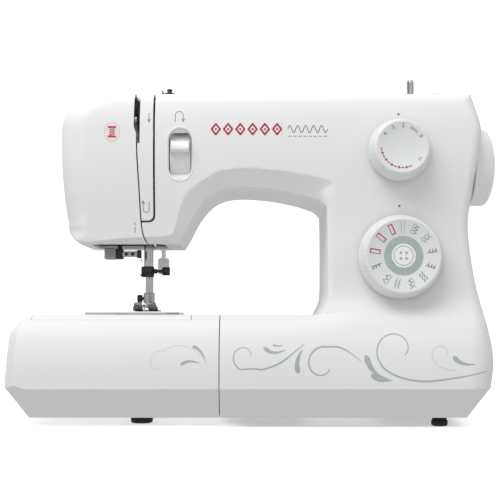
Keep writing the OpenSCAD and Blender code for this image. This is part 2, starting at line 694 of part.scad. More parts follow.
front_cover();
rear_cover();
face_cover();
thread_panel();
top_cover();
free_arm_cover();
base_plate();
rubber_feet();
extension_table();
storage_lid();
main_frame();
control_plate();
tension_bracket();
cover_screws();
handle();
handle_pins();
spool_pin();
spool_cap();
thread_guide();
winder_arm();
winder_spindle();
winder_stop();
power_socket();
power_switch();
thread_cutter();
stitch_dial();
stitch_cam();
pattern_dial();
pattern_cams();
tension_dial();
hand_wheel();
main_shaft();
crank_disc();
timing_pulley();
drive_pulley();
shaft_bushes();
timing_belt();
motor_belt();
motor();
motor_rotor();
lower_shaft();
lower_pulley();
hook_gear();
hook();
bobbin_case();
bobbin();
bobbin_cover();
needle_plate();
feed_dog();
feed_bar();
needle_cradle();
needle_bar();
needle_clamp();
needle();
take_up_lever();
presser_bar();
presser_ankle();
presser_foot();
presser_lifter();
needle_threader();
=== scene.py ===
"""Looks of the free-arm sewing machine: shaped covers, marks, fittings, materials, light and camera.

Lengths inside the helpers are millimetres in the frame's axes: +X right, -Y to the user, +Z up.
"""

import json
import math

import bmesh
import bpy
import numpy as np
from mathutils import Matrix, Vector


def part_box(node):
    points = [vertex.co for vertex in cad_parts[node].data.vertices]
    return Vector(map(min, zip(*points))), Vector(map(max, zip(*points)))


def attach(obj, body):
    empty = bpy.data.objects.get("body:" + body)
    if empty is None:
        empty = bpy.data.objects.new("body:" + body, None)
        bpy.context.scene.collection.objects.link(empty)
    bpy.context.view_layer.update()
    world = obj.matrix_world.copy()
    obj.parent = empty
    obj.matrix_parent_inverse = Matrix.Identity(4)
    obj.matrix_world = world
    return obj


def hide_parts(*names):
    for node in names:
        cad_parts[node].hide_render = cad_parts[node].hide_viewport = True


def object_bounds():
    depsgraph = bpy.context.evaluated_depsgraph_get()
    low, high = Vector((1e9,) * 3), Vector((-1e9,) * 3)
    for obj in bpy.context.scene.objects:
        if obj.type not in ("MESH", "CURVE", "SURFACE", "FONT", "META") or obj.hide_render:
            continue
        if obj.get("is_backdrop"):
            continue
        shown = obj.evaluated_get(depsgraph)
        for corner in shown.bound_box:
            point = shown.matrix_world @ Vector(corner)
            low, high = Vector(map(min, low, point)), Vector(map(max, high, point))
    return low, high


MM = 0.001
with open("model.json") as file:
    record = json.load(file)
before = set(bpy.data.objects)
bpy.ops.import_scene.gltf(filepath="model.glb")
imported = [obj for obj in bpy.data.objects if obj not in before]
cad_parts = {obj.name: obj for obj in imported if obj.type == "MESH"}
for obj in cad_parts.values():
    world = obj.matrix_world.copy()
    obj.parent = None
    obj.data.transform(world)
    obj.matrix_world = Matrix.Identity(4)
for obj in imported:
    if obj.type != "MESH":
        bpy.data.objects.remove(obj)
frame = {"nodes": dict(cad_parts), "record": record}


def plain(value):
    """Vectors and arrays as lists of numbers."""
    if isinstance(value, (int, float)):
        return float(value)
    return [plain(v) for v in value]


CAD_BOUNDS = plain(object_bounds())


def corners(node):
    """Lowest and highest corner of a CAD node, in millimetres."""
    low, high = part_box(node)
    return np.array(low) / MM, np.array(high) / MM


def centre(node):
    low, high = corners(node)
    return (low + high) / 2


# ---------------------------------------------------------------- places from the frame

COVER_LOW, COVER_HIGH = corners("front_cover")
TABLE_LOW, TABLE_HIGH = corners("extension_table")
ARM_LOW, ARM_HIGH = corners("free_arm_cover")
TRAY_LOW, TRAY_HIGH = corners("top_cover")
LID_LOW, LID_HIGH = corners("storage_lid")
NEEDLE = centre("needle")
PRESSER = (NEEDLE[0], 20.0)         # the presser bar stands straight behind the needle
BED_TOP = ARM_HIGH[2]
ARM_TOP = COVER_HIGH[2]
FRONT_Y = COVER_LOW[1]
BACK_Y = corners("rear_cover")[1][1]
HEAD_LEFT, _, HEAD_Z = corners("face_cover")[0]
FOOT_H = corners("rubber_feet")[1][2]
BASE_LEFT = -29.0                   # where the base meets the extension table
BASE_RIGHT = 189.5                  # the base's right end at its crease
CREASE_Z = 31.0                     # below this the base's sides turn in
TURN_IN = 0.8                       # how far they turn in for each millimetre down
TURN_SCALE = 0.78                   # makes a distance from that slanted face about true
PLAN_CORNER = 22.0                  # radius of the base's corners from above
DRAW_IN = 6.0                       # how far the ends draw in towards the front
HEAD_LEAN = 5.0                     # how far the head's front leans in at its foot
WALL = 2.5                          # thickness of the covers
SPLIT_Y = NEEDLE[1]                 # the seam between front and rear cover
CREASE_ANGLE = 32.0                 # faces that meet more steeply keep a sharp edge


# ---------------------------------------------------------------- curves and distance fields

def smooth_curve(points, steps=8):
    """Catmull-Rom curve through the points, ends included."""
    p = np.array(points, float)
    p = np.vstack([p[:1], p, p[-1:]])
    out = []
    for i in range(1, len(p) - 2):
        a, b, c, d = p[i - 1], p[i], p[i + 1], p[i + 2]
        for k in range(steps):
            t = k / steps
            out.append(0.5 * (2 * b + (c - a) * t + (2 * a - 5 * b + 4 * c - d) * t * t
                              + (3 * b - a - 3 * c + d) * t ** 3))
    out.append(p[-2])
    return np.array(out)


def arc(cx, cz, radius, start, end, steps=12):
    angles = np.radians(np.linspace(start, end, steps + 1))
    return np.column_stack([cx + radius * np.cos(angles), cz + radius * np.sin(angles)])


def ramp(low, high, value):
    """0 below low, 1 above high, smooth between; low may be the larger."""
    t = np.clip((value - low) / (high - low), 0.0, 1.0)
    return t * t * (3 - 2 * t)


def blend(a, b, weight):
    return a + (b - a) * weight


def signed_distance(outline, x, z):
    """Distance from each point to a closed outline, negative inside."""
    p = np.asarray(outline, float)
    q = np.roll(p, -1, axis=0)
    e = q - p
    length = np.maximum((e ** 2).sum(axis=1), 1e-12)
    out = np.empty(len(x))
    for s in range(0, len(x), 20000):
        px = x[s:s + 20000, None]
        pz = z[s:s + 20000, None]
        dx = px - p[:, 0]
        dz = pz - p[:, 1]
        t = np.clip((dx * e[:, 0] + dz * e[:, 1]) / length, 0, 1)
        near = ((dx - t * e[:, 0]) ** 2 + (dz - t * e[:, 1]) ** 2).min(axis=1)
        crosses = (p[:, 1] <= pz) != (q[:, 1] <= pz)
        slope = e[:, 0] / np.where(np.abs(e[:, 1]) < 1e-12, 1e-12, e[:, 1])
        left = px < p[:, 0] + dz * slope
        inside = (crosses & left).sum(axis=1) % 2 == 1
        out[s:s + 20000] = np.sqrt(near) * np.where(inside, -1, 1)
    return out


def distance_table(outline, low, high):
    """The signed distance on a 1 mm grid, as a function that interpolates it."""
    xs = np.arange(low[0], high[0] + 1.0)
    zs = np.arange(low[1], high[1] + 1.0)
    gx, gz = np.meshgrid(xs, zs, indexing="ij")
    values = signed_distance(outline, gx.ravel(), gz.ravel()).reshape(gx.shape)

    def look_up(x, z):
        u = np.clip(x - low[0], 0, len(xs) - 1.001)
        v = np.clip(z - low[1], 0, len(zs) - 1.001)
        i = u.astype(int)
        k = v.astype(int)
        fu = u - i
        fv = v - k
        near = blend(values[i, k], values[i, k + 1], fv)
        far = blend(values[i + 1, k], values[i + 1, k + 1], fv)
        return blend(near, far, fu)

    return look_up


def height_profile(points):
    """A curve given as (z, y): returns y(z) and its slope as functions."""
    curve = smooth_curve(points, 12)
    order = np.argsort(curve[:, 0], kind="stable")
    zs = curve[order, 0]
    ys = curve[order, 1]
    grid = np.arange(zs[0], zs[-1], 0.25)
    values = np.interp(grid, zs, ys)
    slopes = np.gradient(values, grid)
    return (lambda z: np.interp(z, grid, values)), (lambda z: np.interp(z, grid, slopes))


def round_max(a, b, radius):
    """The larger of two distances, with the edge between them rounded."""
    outer = np.hypot(np.maximum(a + radius, 0), np.maximum(b + radius, 0))
    return np.minimum(np.maximum(a, b), -radius) + outer


# ---------------------------------------------------------------- the machine's outlines

RIGHT_SIDE = smooth_curve([[BASE_RIGHT, CREASE_Z], [192.2, 54], [188, 82], [177.5, 120], [173.5, 158],
                           [177, 187], [184, 226], [184.8, 242], [178.5, ARM_TOP]])
THROAT = smooth_curve([[-64, HEAD_Z], [-58.5, 155], [-50, 171], [-39, 184], [-26, 190.5], [-10, 192],
                       [12, 190.3], [32, 186.5], [47, 182], [55, 177], [57, 168], [57, 112],
                       [55.5, 98], [50, BED_TOP]], 6)
FRONT_OUTLINE = np.vstack([
    [[BASE_LEFT, -60], [BASE_RIGHT, -60]], RIGHT_SIDE, arc(-134, ARM_TOP - 30, 30, 90, 180, 20),
    smooth_curve([[HEAD_LEFT, 232], [HEAD_LEFT + 0.3, 214], [HEAD_LEFT + 1.6, 195],
                  [HEAD_LEFT + 3.6, 178], [HEAD_LEFT + 6, 164]], 6),
    arc(-142, HEAD_Z + 16, 16, 186, 270, 14),
    THROAT, [[BASE_LEFT, BED_TOP]]])
THROAT_OUTLINE = np.vstack([[[-150, BED_TOP], [-150, HEAD_Z]], THROAT])
# where the chamfer round the throat meets the front face
CREASE_OUTLINE = np.vstack([
    [[-150, BED_TOP], [-150, HEAD_Z], [-138, HEAD_Z + 0.6], [-104, HEAD_Z + 4.2], [-76, HEAD_Z + 5.2]],
    smooth_curve([[-72, HEAD_Z + 5.6], [-67, HEAD_Z + 9.5], [-63, 171], [-57.5, 183.5], [-50.5, 191],
                  [-43.5, 196], [-33.5, 202], [-23.5, 205], [-8.5, 206], [6.5, 205.4], [26.5, 203],
                  [41.5, 200], [52.5, 198]], 5),
    [[61.2, 194.5], [61, 185], [60.6, 112], [58.5, 98], [52.5, BED_TOP]]])

PILLAR_FRONT = height_profile([[-20, -75], [CREASE_Z, -75], [60, -71.5], [79, -64], [92, -54.5],
                               [102, -48.6], [114, -46.6], [134, -46], [160, -45], [190, -46],
                               [220, -47], [245, -46], [263, -42], [300, -30]])
PILLAR_BACK = height_profile([[-20, 75], [CREASE_Z, 75], [60, 73.5], [84, 66], [108, 59], [140, 57],
                              [200, 57], [240, 56], [258, 53.5], [300, 40]])
BASE_FRONT = height_profile([[-20, -75], [CREASE_Z, -75], [52, -74], [66, -71], [76, -66], [83, -58.5],
                             [88, -49.5], [91, -46.5], [110, -46], [300, -46]])
BASE_BACK = height_profile([[-20, 75], [CREASE_Z, 75], [52, 74], [66, 71], [76, 66], [83, 58.5],
                            [88, 49.5], [91, 56], [110, 57], [300, 57]])

OUTLINE_REACH = ((-212, -20), (212, 300))
silhouette = distance_table(FRONT_OUTLINE, *OUTLINE_REACH)
throat_gap = distance_table(THROAT_OUTLINE, *OUTLINE_REACH)
crease_gap = distance_table(CREASE_OUTLINE, *OUTLINE_REACH)


# radius of the edges round the front and back faces
EDGE = 11.0
HEAD_EDGE = 24.0
HEAD_FOOT_EDGE = 20.0
BASE_EDGE, PILLAR_EDGE = 22.0, 7.0
THROAT_EDGE = 2.2
BED_EDGE = 0.8
# how deep the throat's long chamfer cuts into the front: under the arm, by the pillar, by the head
CHAMFER, CHAMFER_PILLAR, CHAMFER_HEAD = 8.5, 3.2, 4.5


def base_share(x, z):
    """1 where the face follows the flat bed's side, 0 where it follows the pillar's."""
    return (1 - ramp(26, 82, x)) * (1 - ramp(100, 130, z))


def face_y(x, z, pillar, base):
    """Y of the front or back face, and how much its slope stretches a distance."""
    share = base_share(x, z)
    y = blend(pillar[0](z), base[0](z), share)
    slope = blend(pillar[1](z), base[1](z), share)
    return y, np.sqrt(1 + slope ** 2)


def towards_front(y):
    """0 at the middle and the back, 1 near the front face."""
    return 1 - ramp(FRONT_Y + 12, 12.0, y)


def turned_in(end, side, z):
    """The bottom turns in all round, below a crisp crease."""
    return (round_max(end, side, PLAN_CORNER) + TURN_IN * (CREASE_Z - z)) * TURN_SCALE


def machine_field(x, y, z):
    """Below zero inside the machine's body, with its rounded edges and chamfers."""
    # both ends draw in towards the front
    end = np.where(x > 0, ramp(110, 160, x) * blend(1.0, 0.55, ramp(70, 130, z)), -ramp(-110, -140, x))
    shifted = x + DRAW_IN * towards_front(y) * end
    outline = silhouette(shifted, z)
    gap = throat_gap(x, z)
    fy, fs = face_y(x, z, PILLAR_FRONT, BASE_FRONT)
    by, bs = face_y(x, z, PILLAR_BACK, BASE_BACK)
    # the head's front leans in towards its foot
    lean = np.clip((212 - z) / 66, 0, 1)
    fy = fy + HEAD_LEAN * lean ** 2 * ramp(-40, -75, x)
    front = (fy - y) / fs
    back = (y - by) / bs
    side = np.maximum(front, back)
    # large on the head's left and the base's right corner, small round the throat
    radius = np.full(len(x), EDGE)
    radius = blend(radius, HEAD_EDGE, ramp(-112, -150, x))
    corner = blend(BASE_EDGE, PILLAR_EDGE, ramp(50, 118, z))
    radius = blend(radius, corner, ramp(125, 165, x) * (1 - ramp(238, 264, z)))
    radius = blend(THROAT_EDGE, radius, ramp(3, 26, gap))
    past_bed = np.maximum(ramp(BASE_LEFT + 1, BASE_LEFT + 16, x), ramp(96, 120, z))
    radius = blend(BED_EDGE, radius, past_bed)
    radius = blend(radius, HEAD_FOOT_EDGE, ramp(-128, -150, x) * ramp(HEAD_Z - 1, HEAD_Z + 12, z))
    shape = round_max(outline, side, radius)
    # long chamfer on the front of the throat, crisp where it meets the front face
    within = np.maximum(-crease_gap(x, z), 0)
    width = np.maximum(gap, 0) + within
    into = blend(CHAMFER, CHAMFER_PILLAR, ramp(50, 58, x) * (1 - ramp(180, 195, z)))
    into = blend(into, CHAMFER_HEAD, ramp(-60, -76, x))
    share = np.where(gap > 0, within / np.maximum(width, 1e-6), 0)
    slant = (front + into * share) * width / np.hypot(np.maximum(width, 1e-6), into)
    slant = np.where((gap > 0) & (within > 0), slant, -50.0)
    shape = np.maximum(shape, slant)
    shape = np.maximum(shape, turned_in(shifted - BASE_RIGHT, side, z))
    return np.maximum(shape, FOOT_H - z)


# ---------------------------------------------------------------- surfaces from fields

GRADIENT_STEP = 0.05                # millimetres either side, for a field's slope
STEADY = 0.04                       # pull of each point towards the middle of its cell's crossings
REACH = 0.7                         # how far a point may move from there, in cells


def contour(field, low, high, cell):
    """Dual contouring: points and quads of the field's zero surface, creases kept sharp."""
    low = np.asarray(low, float)
    counts = np.ceil((np.asarray(high, float) - low) / cell).astype(int) + 1
    axes = [low[i] + cell * np.arange(counts[i]) for i in range(3)]
    gx, gy, gz = np.meshgrid(*axes, indexing="ij")
    values = field(gx.ravel(), gy.ravel(), gz.ravel()).reshape(gx.shape)
    inside = values < 0
    cells = counts - 1
    owners = []
    places = []
    slopes = []
    loops = []
    for axis in range(3):
        take = [slice(None)] * 3
        follow = [slice(None)] * 3
        take[axis] = slice(0, -1)
        follow[axis] = slice(1, None)
        start_in = inside[tuple(take)]
        change = start_in != inside[tuple(follow)]
        index = np.argwhere(change)
        out_first = ~start_in[change]
        v0 = values[tuple(take)][change]
        v1 = values[tuple(follow)][change]
        origin = low + cell * index
        step = np.zeros(3)
        step[axis] = cell
        lower = np.zeros(len(index))
        upper = np.ones(len(index))
        t = v0 / (v0 - v1)
        for _ in range(5):
            p = origin + t[:, None] * step
            v = field(p[:, 0], p[:, 1], p[:, 2])
            same = (v < 0) == (v0 < 0)
            lower = np.where(same, t, lower)
            v0 = np.where(same, v, v0)
            upper = np.where(same, upper, t)
            v1 = np.where(same, v1, v)
            t = np.where(np.abs(v0 - v1) < 1e-12, (lower + upper) / 2,
                         lower + (upper - lower) * v0 / (v0 - v1))
            t = np.clip(t, lower, upper)
        p = origin + t[:, None] * step
        h = GRADIENT_STEP
        grad = np.empty_like(p)
        for k in range(3):
            a = p.copy()
            b = p.copy()
            a[:, k] -= h
            b[:, k] += h
            grad[:, k] = field(b[:, 0], b[:, 1], b[:, 2]) - field(a[:, 0], a[:, 1], a[:, 2])
        grad /= np.maximum(np.linalg.norm(grad, axis=1), 1e-9)[:, None]
        j, k = (axis + 1) % 3, (axis + 2) % 3
        quad = []
        for dj, dk in ((-1, -1), (0, -1), (0, 0), (-1, 0)):
            c = index.copy()
            c[:, j] += dj
            c[:, k] += dk
            quad.append((c[:, 0] * cells[1] + c[:, 1]) * cells[2] + c[:, 2])
        quad = np.stack(quad, axis=1)
        quad[out_first] = quad[out_first][:, ::-1]
        loops.append(quad)
        owners.append(quad.ravel())
        places.append(np.repeat(p, 4, axis=0))
        slopes.append(np.repeat(grad, 4, axis=0))
    owners = np.concatenate(owners)
    places = np.concatenate(places)
    slopes = np.concatenate(slopes)
    ids, rank = np.unique(owners, return_inverse=True)
    n = len(ids)
    count = np.bincount(rank, minlength=n)
    mass = np.stack([np.bincount(rank, places[:, i], n) for i in range(3)], axis=1) / count[:, None]
    offset = ((places - mass[rank]) * slopes).sum(axis=1)
    square = np.empty((n, 3, 3))
    right = np.empty((n, 3))
    for a in range(3):
        right[:, a] = np.bincount(rank, slopes[:, a] * offset, n)
        for b in range(3):
            square[:, a, b] = np.bincount(rank, slopes[:, a] * slopes[:, b], n)
    square += np.eye(3) * STEADY * count[:, None, None]
    move = np.linalg.solve(square, right[:, :, None])[:, :, 0]
    points = mass + np.clip(move, -REACH * cell, REACH * cell)
    corner = np.stack([ids // (cells[1] * cells[2]), ids // cells[2] % cells[1], ids % cells[2]], axis=1)
    base = low + corner * cell
    points = np.clip(points, base, base + cell)
    return points, rank.reshape(-1, 4)


def add_object(name, data):
    made = bpy.data.objects.new(name, data)
    bpy.context.scene.collection.objects.link(made)
    return made


def discard(*objects):
    """Removes objects, and their meshes once nothing else uses them."""
    for made in objects:
        data = made.data
        bpy.data.objects.remove(made)
        if data.users == 0:
            bpy.data.meshes.remove(data)


def shade(mesh, crease):
    """Smooth shading, with sharp edges where faces meet steeply."""
    mesh.polygons.foreach_set("use_smooth", [True] * len(mesh.polygons))
    mesh.set_sharp_from_angle(angle=math.radians(crease))


def coat(made, material):
    """Every face in one material."""
    made.data.materials.clear()
    made.data.materials.append(material)


def new_mesh(name, points, faces, material=None, crease=CREASE_ANGLE):
    """A smooth-shaded object from points in millimetres."""
    mesh = bpy.data.meshes.new(name)
    mesh.from_pydata((np.asarray(points, float) * MM).tolist(), [],
                     faces.tolist() if isinstance(faces, np.ndarray) else faces)
    shade(mesh, crease)
    mesh.update()
    if material:
        mesh.materials.append(material)
    return add_object(name, mesh)


def cut(made, operation, *others):
    """Boolean with each of the others in turn; they are used up."""
    for other in others:
        step = made.modifiers.new("step", "BOOLEAN")
        step.operation = operation
        step.solver = "MANIFOLD"
        step.object = other
        bpy.context.view_layer.update()
        graph = bpy.context.evaluated_depsgraph_get()
        result = bpy.data.meshes.new_from_object(made.evaluated_get(graph))
        made.modifiers.clear()
        old = made.data
        made.data = result
        bpy.data.meshes.remove(old)
    discard(*others)
    return made


def duplicate(made, name):
    return add_object(name, made.data.copy())


def loft(rings, ends=True):
    """Points and faces through rings of equal size: flat ends, or the last ring joined to the first."""
    rings = [np.asarray(r, float) for r in rings]
    n = len(rings[0])
    count = len(rings)
    faces = []
    for i in range(count - 1 if ends else count):
        a, b = i * n, (i + 1) % count * n
        for k in range(n):
            m = (k + 1) % n
            faces.append([a + k, a + m, b + m, b + k])
    if ends:
        faces += [list(range(n))[::-1], [(count - 1) * n + k for k in range(n)]]
    return np.vstack(rings), faces


def sheet_faces(rows, columns, start=0):
    """Faces of a closed sheet whose points are a front grid and then a rear grid of the same size."""
    total = rows * columns
    faces = []
    for i in range(rows - 1):
        for k in range(columns - 1):
            a = start + i * columns + k
            b = a + columns
            faces.append([a, a + 1, b + 1, b])
            faces.append([total + a, total + b, total + b + 1, total + a + 1])
    border = ([(0, k) for k in range(columns)] + [(i, columns - 1) for i in range(1, rows)]
              + [(rows - 1, k) for k in range(columns - 2, -1, -1)]
              + [(i, 0) for i in range(rows - 2, 0, -1)])
    border = [start + i * columns + k for i, k in border]
    for a, b in zip(border, border[1:] + border[:1]):
        faces.append([a, total + a, total + b, b])
    return faces


def on_axis(axis, u, v, along):
    """Plan coordinates to space: axis y takes (x, z), axis x takes (y, z), axis z takes (x, y)."""
    u = np.asarray(u, float)
    along = np.broadcast_to(np.asarray(along, float), u.shape)
    if axis == "y":
        return np.stack([u, along, v], axis=-1)
    if axis == "x":
        return np.stack([along, u, v], axis=-1)
    return np.stack([u, v, along], axis=-1)


def outward(made):
    """Turns every face outwards."""
    work = bmesh.new()
    work.from_mesh(made.data)
    bmesh.ops.recalc_face_normals(work, faces=work.faces)
    work.to_mesh(made.data)
    work.free()
    return made


def inset(outline, distance):
    """The outline moved inwards; it runs counterclockwise."""
    p = np.asarray(outline, float)
    a = np.roll(p, 1, axis=0)
    c = np.roll(p, -1, axis=0)
    u = (p - a) / np.linalg.norm(p - a, axis=1)[:, None]
    v = (c - p) / np.linalg.norm(c - p, axis=1)[:, None]
    turn = np.maximum(1 + (u * v).sum(axis=1), 0.3)
    middle = np.stack([-u[:, 1] - v[:, 1], u[:, 0] + v[:, 0]], axis=1)
    return p + middle * (distance / turn)[:, None]


def prism(name, outline, low, high, axis="y", edge=0.0, material=None, steps=3, crease=CREASE_ANGLE):
    """An outline run along an axis, with both rims rounded by edge."""
    layers = [(0, low), (0, high)]
    if edge:
        turns = [math.radians(90 * k / steps) for k in range(steps + 1)]
        layers = ([(edge * (1 - math.sin(t)), low + edge * (1 - math.cos(t))) for t in turns]
                  + [(edge * (1 - math.cos(t)), high - edge * (1 - math.sin(t))) for t in turns])
    rings = []
    for depth, along in layers:
        ring = inset(outline, depth) if edge else np.asarray(outline, float)
        rings.append(on_axis(axis, ring[:, 0], ring[:, 1], along))
    return outward(new_mesh(name, *loft(rings), material, crease))


def rectangle(x0, z0, x1, z1, radius=0.0, steps=5):
    if radius <= 0:
        return np.array([[x0, z0], [x1, z0], [x1, z1], [x0, z1]], float)
    return np.vstack([arc(x1 - radius, z0 + radius, radius, -90, 0, steps),
                      arc(x1 - radius, z1 - radius, radius, 0, 90, steps),
                      arc(x0 + radius, z1 - radius, radius, 90, 180, steps),
                      arc(x0 + radius, z0 + radius, radius, 180, 270, steps)])


def block(name, low, high, radius=0.0, edge=0.0, axis="y", material=None):
    """A box between two corners, its long edges rounded by radius and its rims by edge."""
    i, j, k = {"y": (0, 2, 1), "x": (1, 2, 0), "z": (0, 1, 2)}[axis]
    outline = rectangle(low[i], low[j], high[i], high[j], radius)
    return prism(name, outline, low[k], high[k], axis, edge, material)


def lathe(name, profile, u, v, axis="y", segments=96, material=None, ribs=None, crease=CREASE_ANGLE,
          ends=True):
    """A turned solid: profile is (radius, place along the axis); ribs(angle, k) changes a radius.

    Without ends the profile is closed on itself, and the turned piece is a ring.
    """
    angles = np.linspace(0, 2 * math.pi, segments, endpoint=False)
    rings = []
    for k, (radius, along) in enumerate(profile):
        r = max(radius, 0.02) + (ribs(angles, k) if ribs else 0)
        rings.append(on_axis(axis, u + r * np.cos(angles), v + r * np.sin(angles), along))
    return outward(new_mesh(name, *loft(rings, ends), material, crease))


def rod(name, u, v, radius, low, high, axis="y", segments=64, material=None):
    return lathe(name, [(radius, low), (radius, high)], u, v, axis, segments, material)


def tube(name, path, radius, segments=12, material=None):
    """A round bar along a path of points in space; radius may be one value for each point."""
    p = np.asarray(path, float)
    radii = np.broadcast_to(np.asarray(radius, float), (len(p),))
    way = np.gradient(p, axis=0)
    way /= np.linalg.norm(way, axis=1)[:, None]
    side = np.cross(way[0], [0.3, 0.5, 0.81])
    side /= np.linalg.norm(side)
    angles = np.linspace(0, 2 * math.pi, segments, endpoint=False)
    rings = []
    for i in range(len(p)):
        side = side - way[i] * side.dot(way[i])
        side /= np.linalg.norm(side)
        up = np.cross(way[i], side)
        rings.append(p[i] + radii[i] * (np.outer(np.cos(angles), side) + np.outer(np.sin(angles), up)))
    return outward(new_mesh(name, *loft(rings), material))


def join(name, *parts):
    """One object from several."""
    work = bmesh.new()
    material = parts[0].data.materials[0] if parts[0].data.materials else None
    for part in parts:
        work.from_mesh(part.data)
    mesh = bpy.data.meshes.new(name)
    work.to_mesh(mesh)
    work.free()
    mesh.set_sharp_from_angle(angle=math.radians(CREASE_ANGLE))
    if material:
        mesh.materials.append(material)
    made = add_object(name, mesh)
    discard(*parts)
    return made


def place(made, body, slot, *nodes):
    """Puts a piece on its body and hides the CAD nodes it stands for; slot is not used."""
    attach(made, body)
    if nodes:
        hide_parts(*nodes)
    return made


# ---------------------------------------------------------------- materials

class Tree:
    """Short calls for adding nodes to a material or a world."""

    def __init__(self, owner, shader):
        owner.use_nodes = True
        self.tree = owner.node_tree
        self.shader = self.tree.nodes[shader]

    def add(self, kind, inputs=None, **settings):
        made = self.tree.nodes.new(kind)
        for key, value in settings.items():
            setattr(made, key, value)
        for key, value in (inputs or {}).items():
            if hasattr(value, "is_linked"):
                self.tree.links.new(value, made.inputs[key])
            else:
                made.inputs[key].default_value = value
        return made

    def link(self, output, socket):
        self.tree.links.new(output, self.shader.inputs[socket])

    def set(self, socket, value):
        self.shader.inputs[socket].default_value = value


class Nodes(Tree):
    """One material's node tree, with the textures it is made of."""

    def __init__(self, name):
        self.material = bpy.data.materials.new(name)
        super().__init__(self.material, "Principled BSDF")

    def noise(self, scale, detail=4.0, stretch=None):
        where = self.add("ShaderNodeTexCoord").outputs["Object"]
        if stretch:
            where = self.add("ShaderNodeMapping", {"Vector": where, "Scale": stretch}).outputs["Vector"]
        return self.add("ShaderNodeTexNoise",
                        {"Vector": where, "Scale": scale, "Detail": detail}).outputs["Fac"]

    def between(self, factor, low, high):
        """Maps a noise's usual span, 0.3 to 0.7, on to the range low to high."""
        return self.add("ShaderNodeMapRange", {"Value": factor, "From Min": 0.3, "From Max": 0.7,
                                               "To Min": low, "To Max": high}).outputs["Result"]

    def tint(self, factor, first, second):
        mix = self.add("ShaderNodeMix", {"Factor": factor}, data_type="RGBA")
        mix.inputs[6].default_value = (*first, 1)
        mix.inputs[7].default_value = (*second, 1)
        return mix.outputs[2]

    def bump(self, height, strength, distance):
        return self.add("ShaderNodeBump", {"Height": height, "Strength": strength,
                                           "Distance": distance}).outputs["Normal"]


def plastic(name, colour, rough, grain=900.0, relief=0.04, coat=0.0, shift=0.03):
    """Moulded plastic: faint flow marks in its colour, and an orange-peel or spark texture."""
    n = Nodes(name)
    n.set("IOR", 1.5)
    n.set("Coat Weight", coat)
    n.set("Coat Roughness", 0.08)
    darker = tuple(c * (1 - shift) for c in colour)
    n.link(n.tint(n.between(n.noise(14.0), 0, 1), darker, colour), "Base Color")
    n.link(n.between(n.noise(60.0, 6.0), rough * 0.85, rough * 1.15), "Roughness")
    n.link(n.bump(n.noise(grain, 3.0), relief, 0.0004), "Normal")
    return n.material


def metal(name, colour, rough, stretch=(1, 1, 1), grain=500.0, relief=0.03):
    """Metal with wear in its gloss and fine lines along one axis."""
    n = Nodes(name)
    n.set("Metallic", 1.0)
    dull = tuple(c * 0.86 for c in colour)
    n.link(n.tint(n.between(n.noise(90.0, 6.0), 0, 1), dull, colour), "Base Color")
    lines = n.noise(grain, 4.0, stretch)
    n.link(n.between(lines, rough * 0.7, rough * 1.35), "Roughness")
    n.link(n.bump(lines, relief, 0.0003), "Normal")
    return n.material


def rubber(name, colour):
    n = Nodes(name)
    n.set("Specular IOR Level", 0.3)
    lighter = tuple(c * 1.6 + 0.01 for c in colour)
    n.link(n.tint(n.between(n.noise(300.0, 8.0), 0, 1), colour, lighter), "Base Color")
    n.link(n.between(n.noise(200.0), 0.6, 0.85), "Roughness")
    n.link(n.bump(n.noise(1500.0), 0.15, 0.0003), "Normal")
    return n.material


def clear(name, colour, rough):
    n = Nodes(name)
    n.set("Transmission Weight", 0.85)
    n.set("IOR", 1.49)
    n.set("Base Color", (*colour, 1))
    n.link(n.between(n.noise(80.0, 6.0), rough * 0.6, rough * 1.5), "Roughness")
    n.link(n.bump(n.noise(500.0), 0.02, 0.0003), "Normal")
    return n.material


def ink(name, colour, rough=0.4):
    """Printed colour with slightly uneven cover."""
    n = Nodes(name)
    pale = tuple(min(1.0, c * 1.12 + 0.015) for c in colour)
    n.link(n.tint(n.between(n.noise(400.0, 6.0), 0, 1), colour, pale), "Base Color")
    n.link(n.between(n.noise(150.0), rough * 0.8, rough * 1.2), "Roughness")
    return n.material


WHITE = plastic("white_gloss", (0.83, 0.84, 0.84), 0.24, 700.0, 0.03, coat=0.25)
SATIN = plastic("white_satin", (0.80, 0.81, 0.81), 0.38, 1500.0, 0.06)
DIAL = plastic("dial_face", (0.77, 0.79, 0.785), 0.4, 1600.0, 0.06)
WHEEL = plastic("wheel_grey", (0.87, 0.88, 0.88), 0.35, 1200.0, 0.05)
UNDER = plastic("under_plastic", (0.55, 0.56, 0.57), 0.55, 2200.0, 0.2)
DARK = plastic("dark_plastic", (0.022, 0.022, 0.024), 0.45, 1800.0, 0.15)
BLACK = plastic("black_gloss", (0.01, 0.01, 0.011), 0.2, 900.0, 0.04)
AMBER = plastic("cam_nylon", (0.62, 0.6, 0.5), 0.5, 1500.0, 0.1)
RUBBER = rubber("foot_rubber", (0.012, 0.012, 0.012))
GREY_TAB = plastic("threader_grey", (0.36, 0.37, 0.385), 0.45, 1500.0, 0.1)
CAST = metal("cast_alloy", (0.42, 0.43, 0.44), 0.55, (1, 1, 1), 900.0, 0.25)
STEEL = metal("brushed_steel", (0.50, 0.50, 0.49), 0.32, (1, 1, 30), 60.0, 0.1)
CHROME = metal("chrome", (0.62, 0.62, 0.61), 0.1, (30, 30, 1), 20.0, 0.02)
DARK_METAL = metal("black_oxide", (0.06, 0.06, 0.065), 0.3, (1, 1, 1), 700.0, 0.08)
CLEAR = clear("clear_cover", (0.93, 0.95, 0.96), 0.06)
INK_GREY = ink("ink_grey", (0.16, 0.17, 0.17))
INK_SAGE = ink("ink_sage", (0.37, 0.43, 0.41), 0.35)
INK_PALE = ink("ink_pale", (0.58, 0.62, 0.61), 0.35)
INK_RED = ink("ink_red", (0.38, 0.012, 0.05))
INK_BLUE = ink("ink_blue", (0.16, 0.26, 0.38))
INK_ROSE = ink("ink_rose", (0.78, 0.66, 0.67))
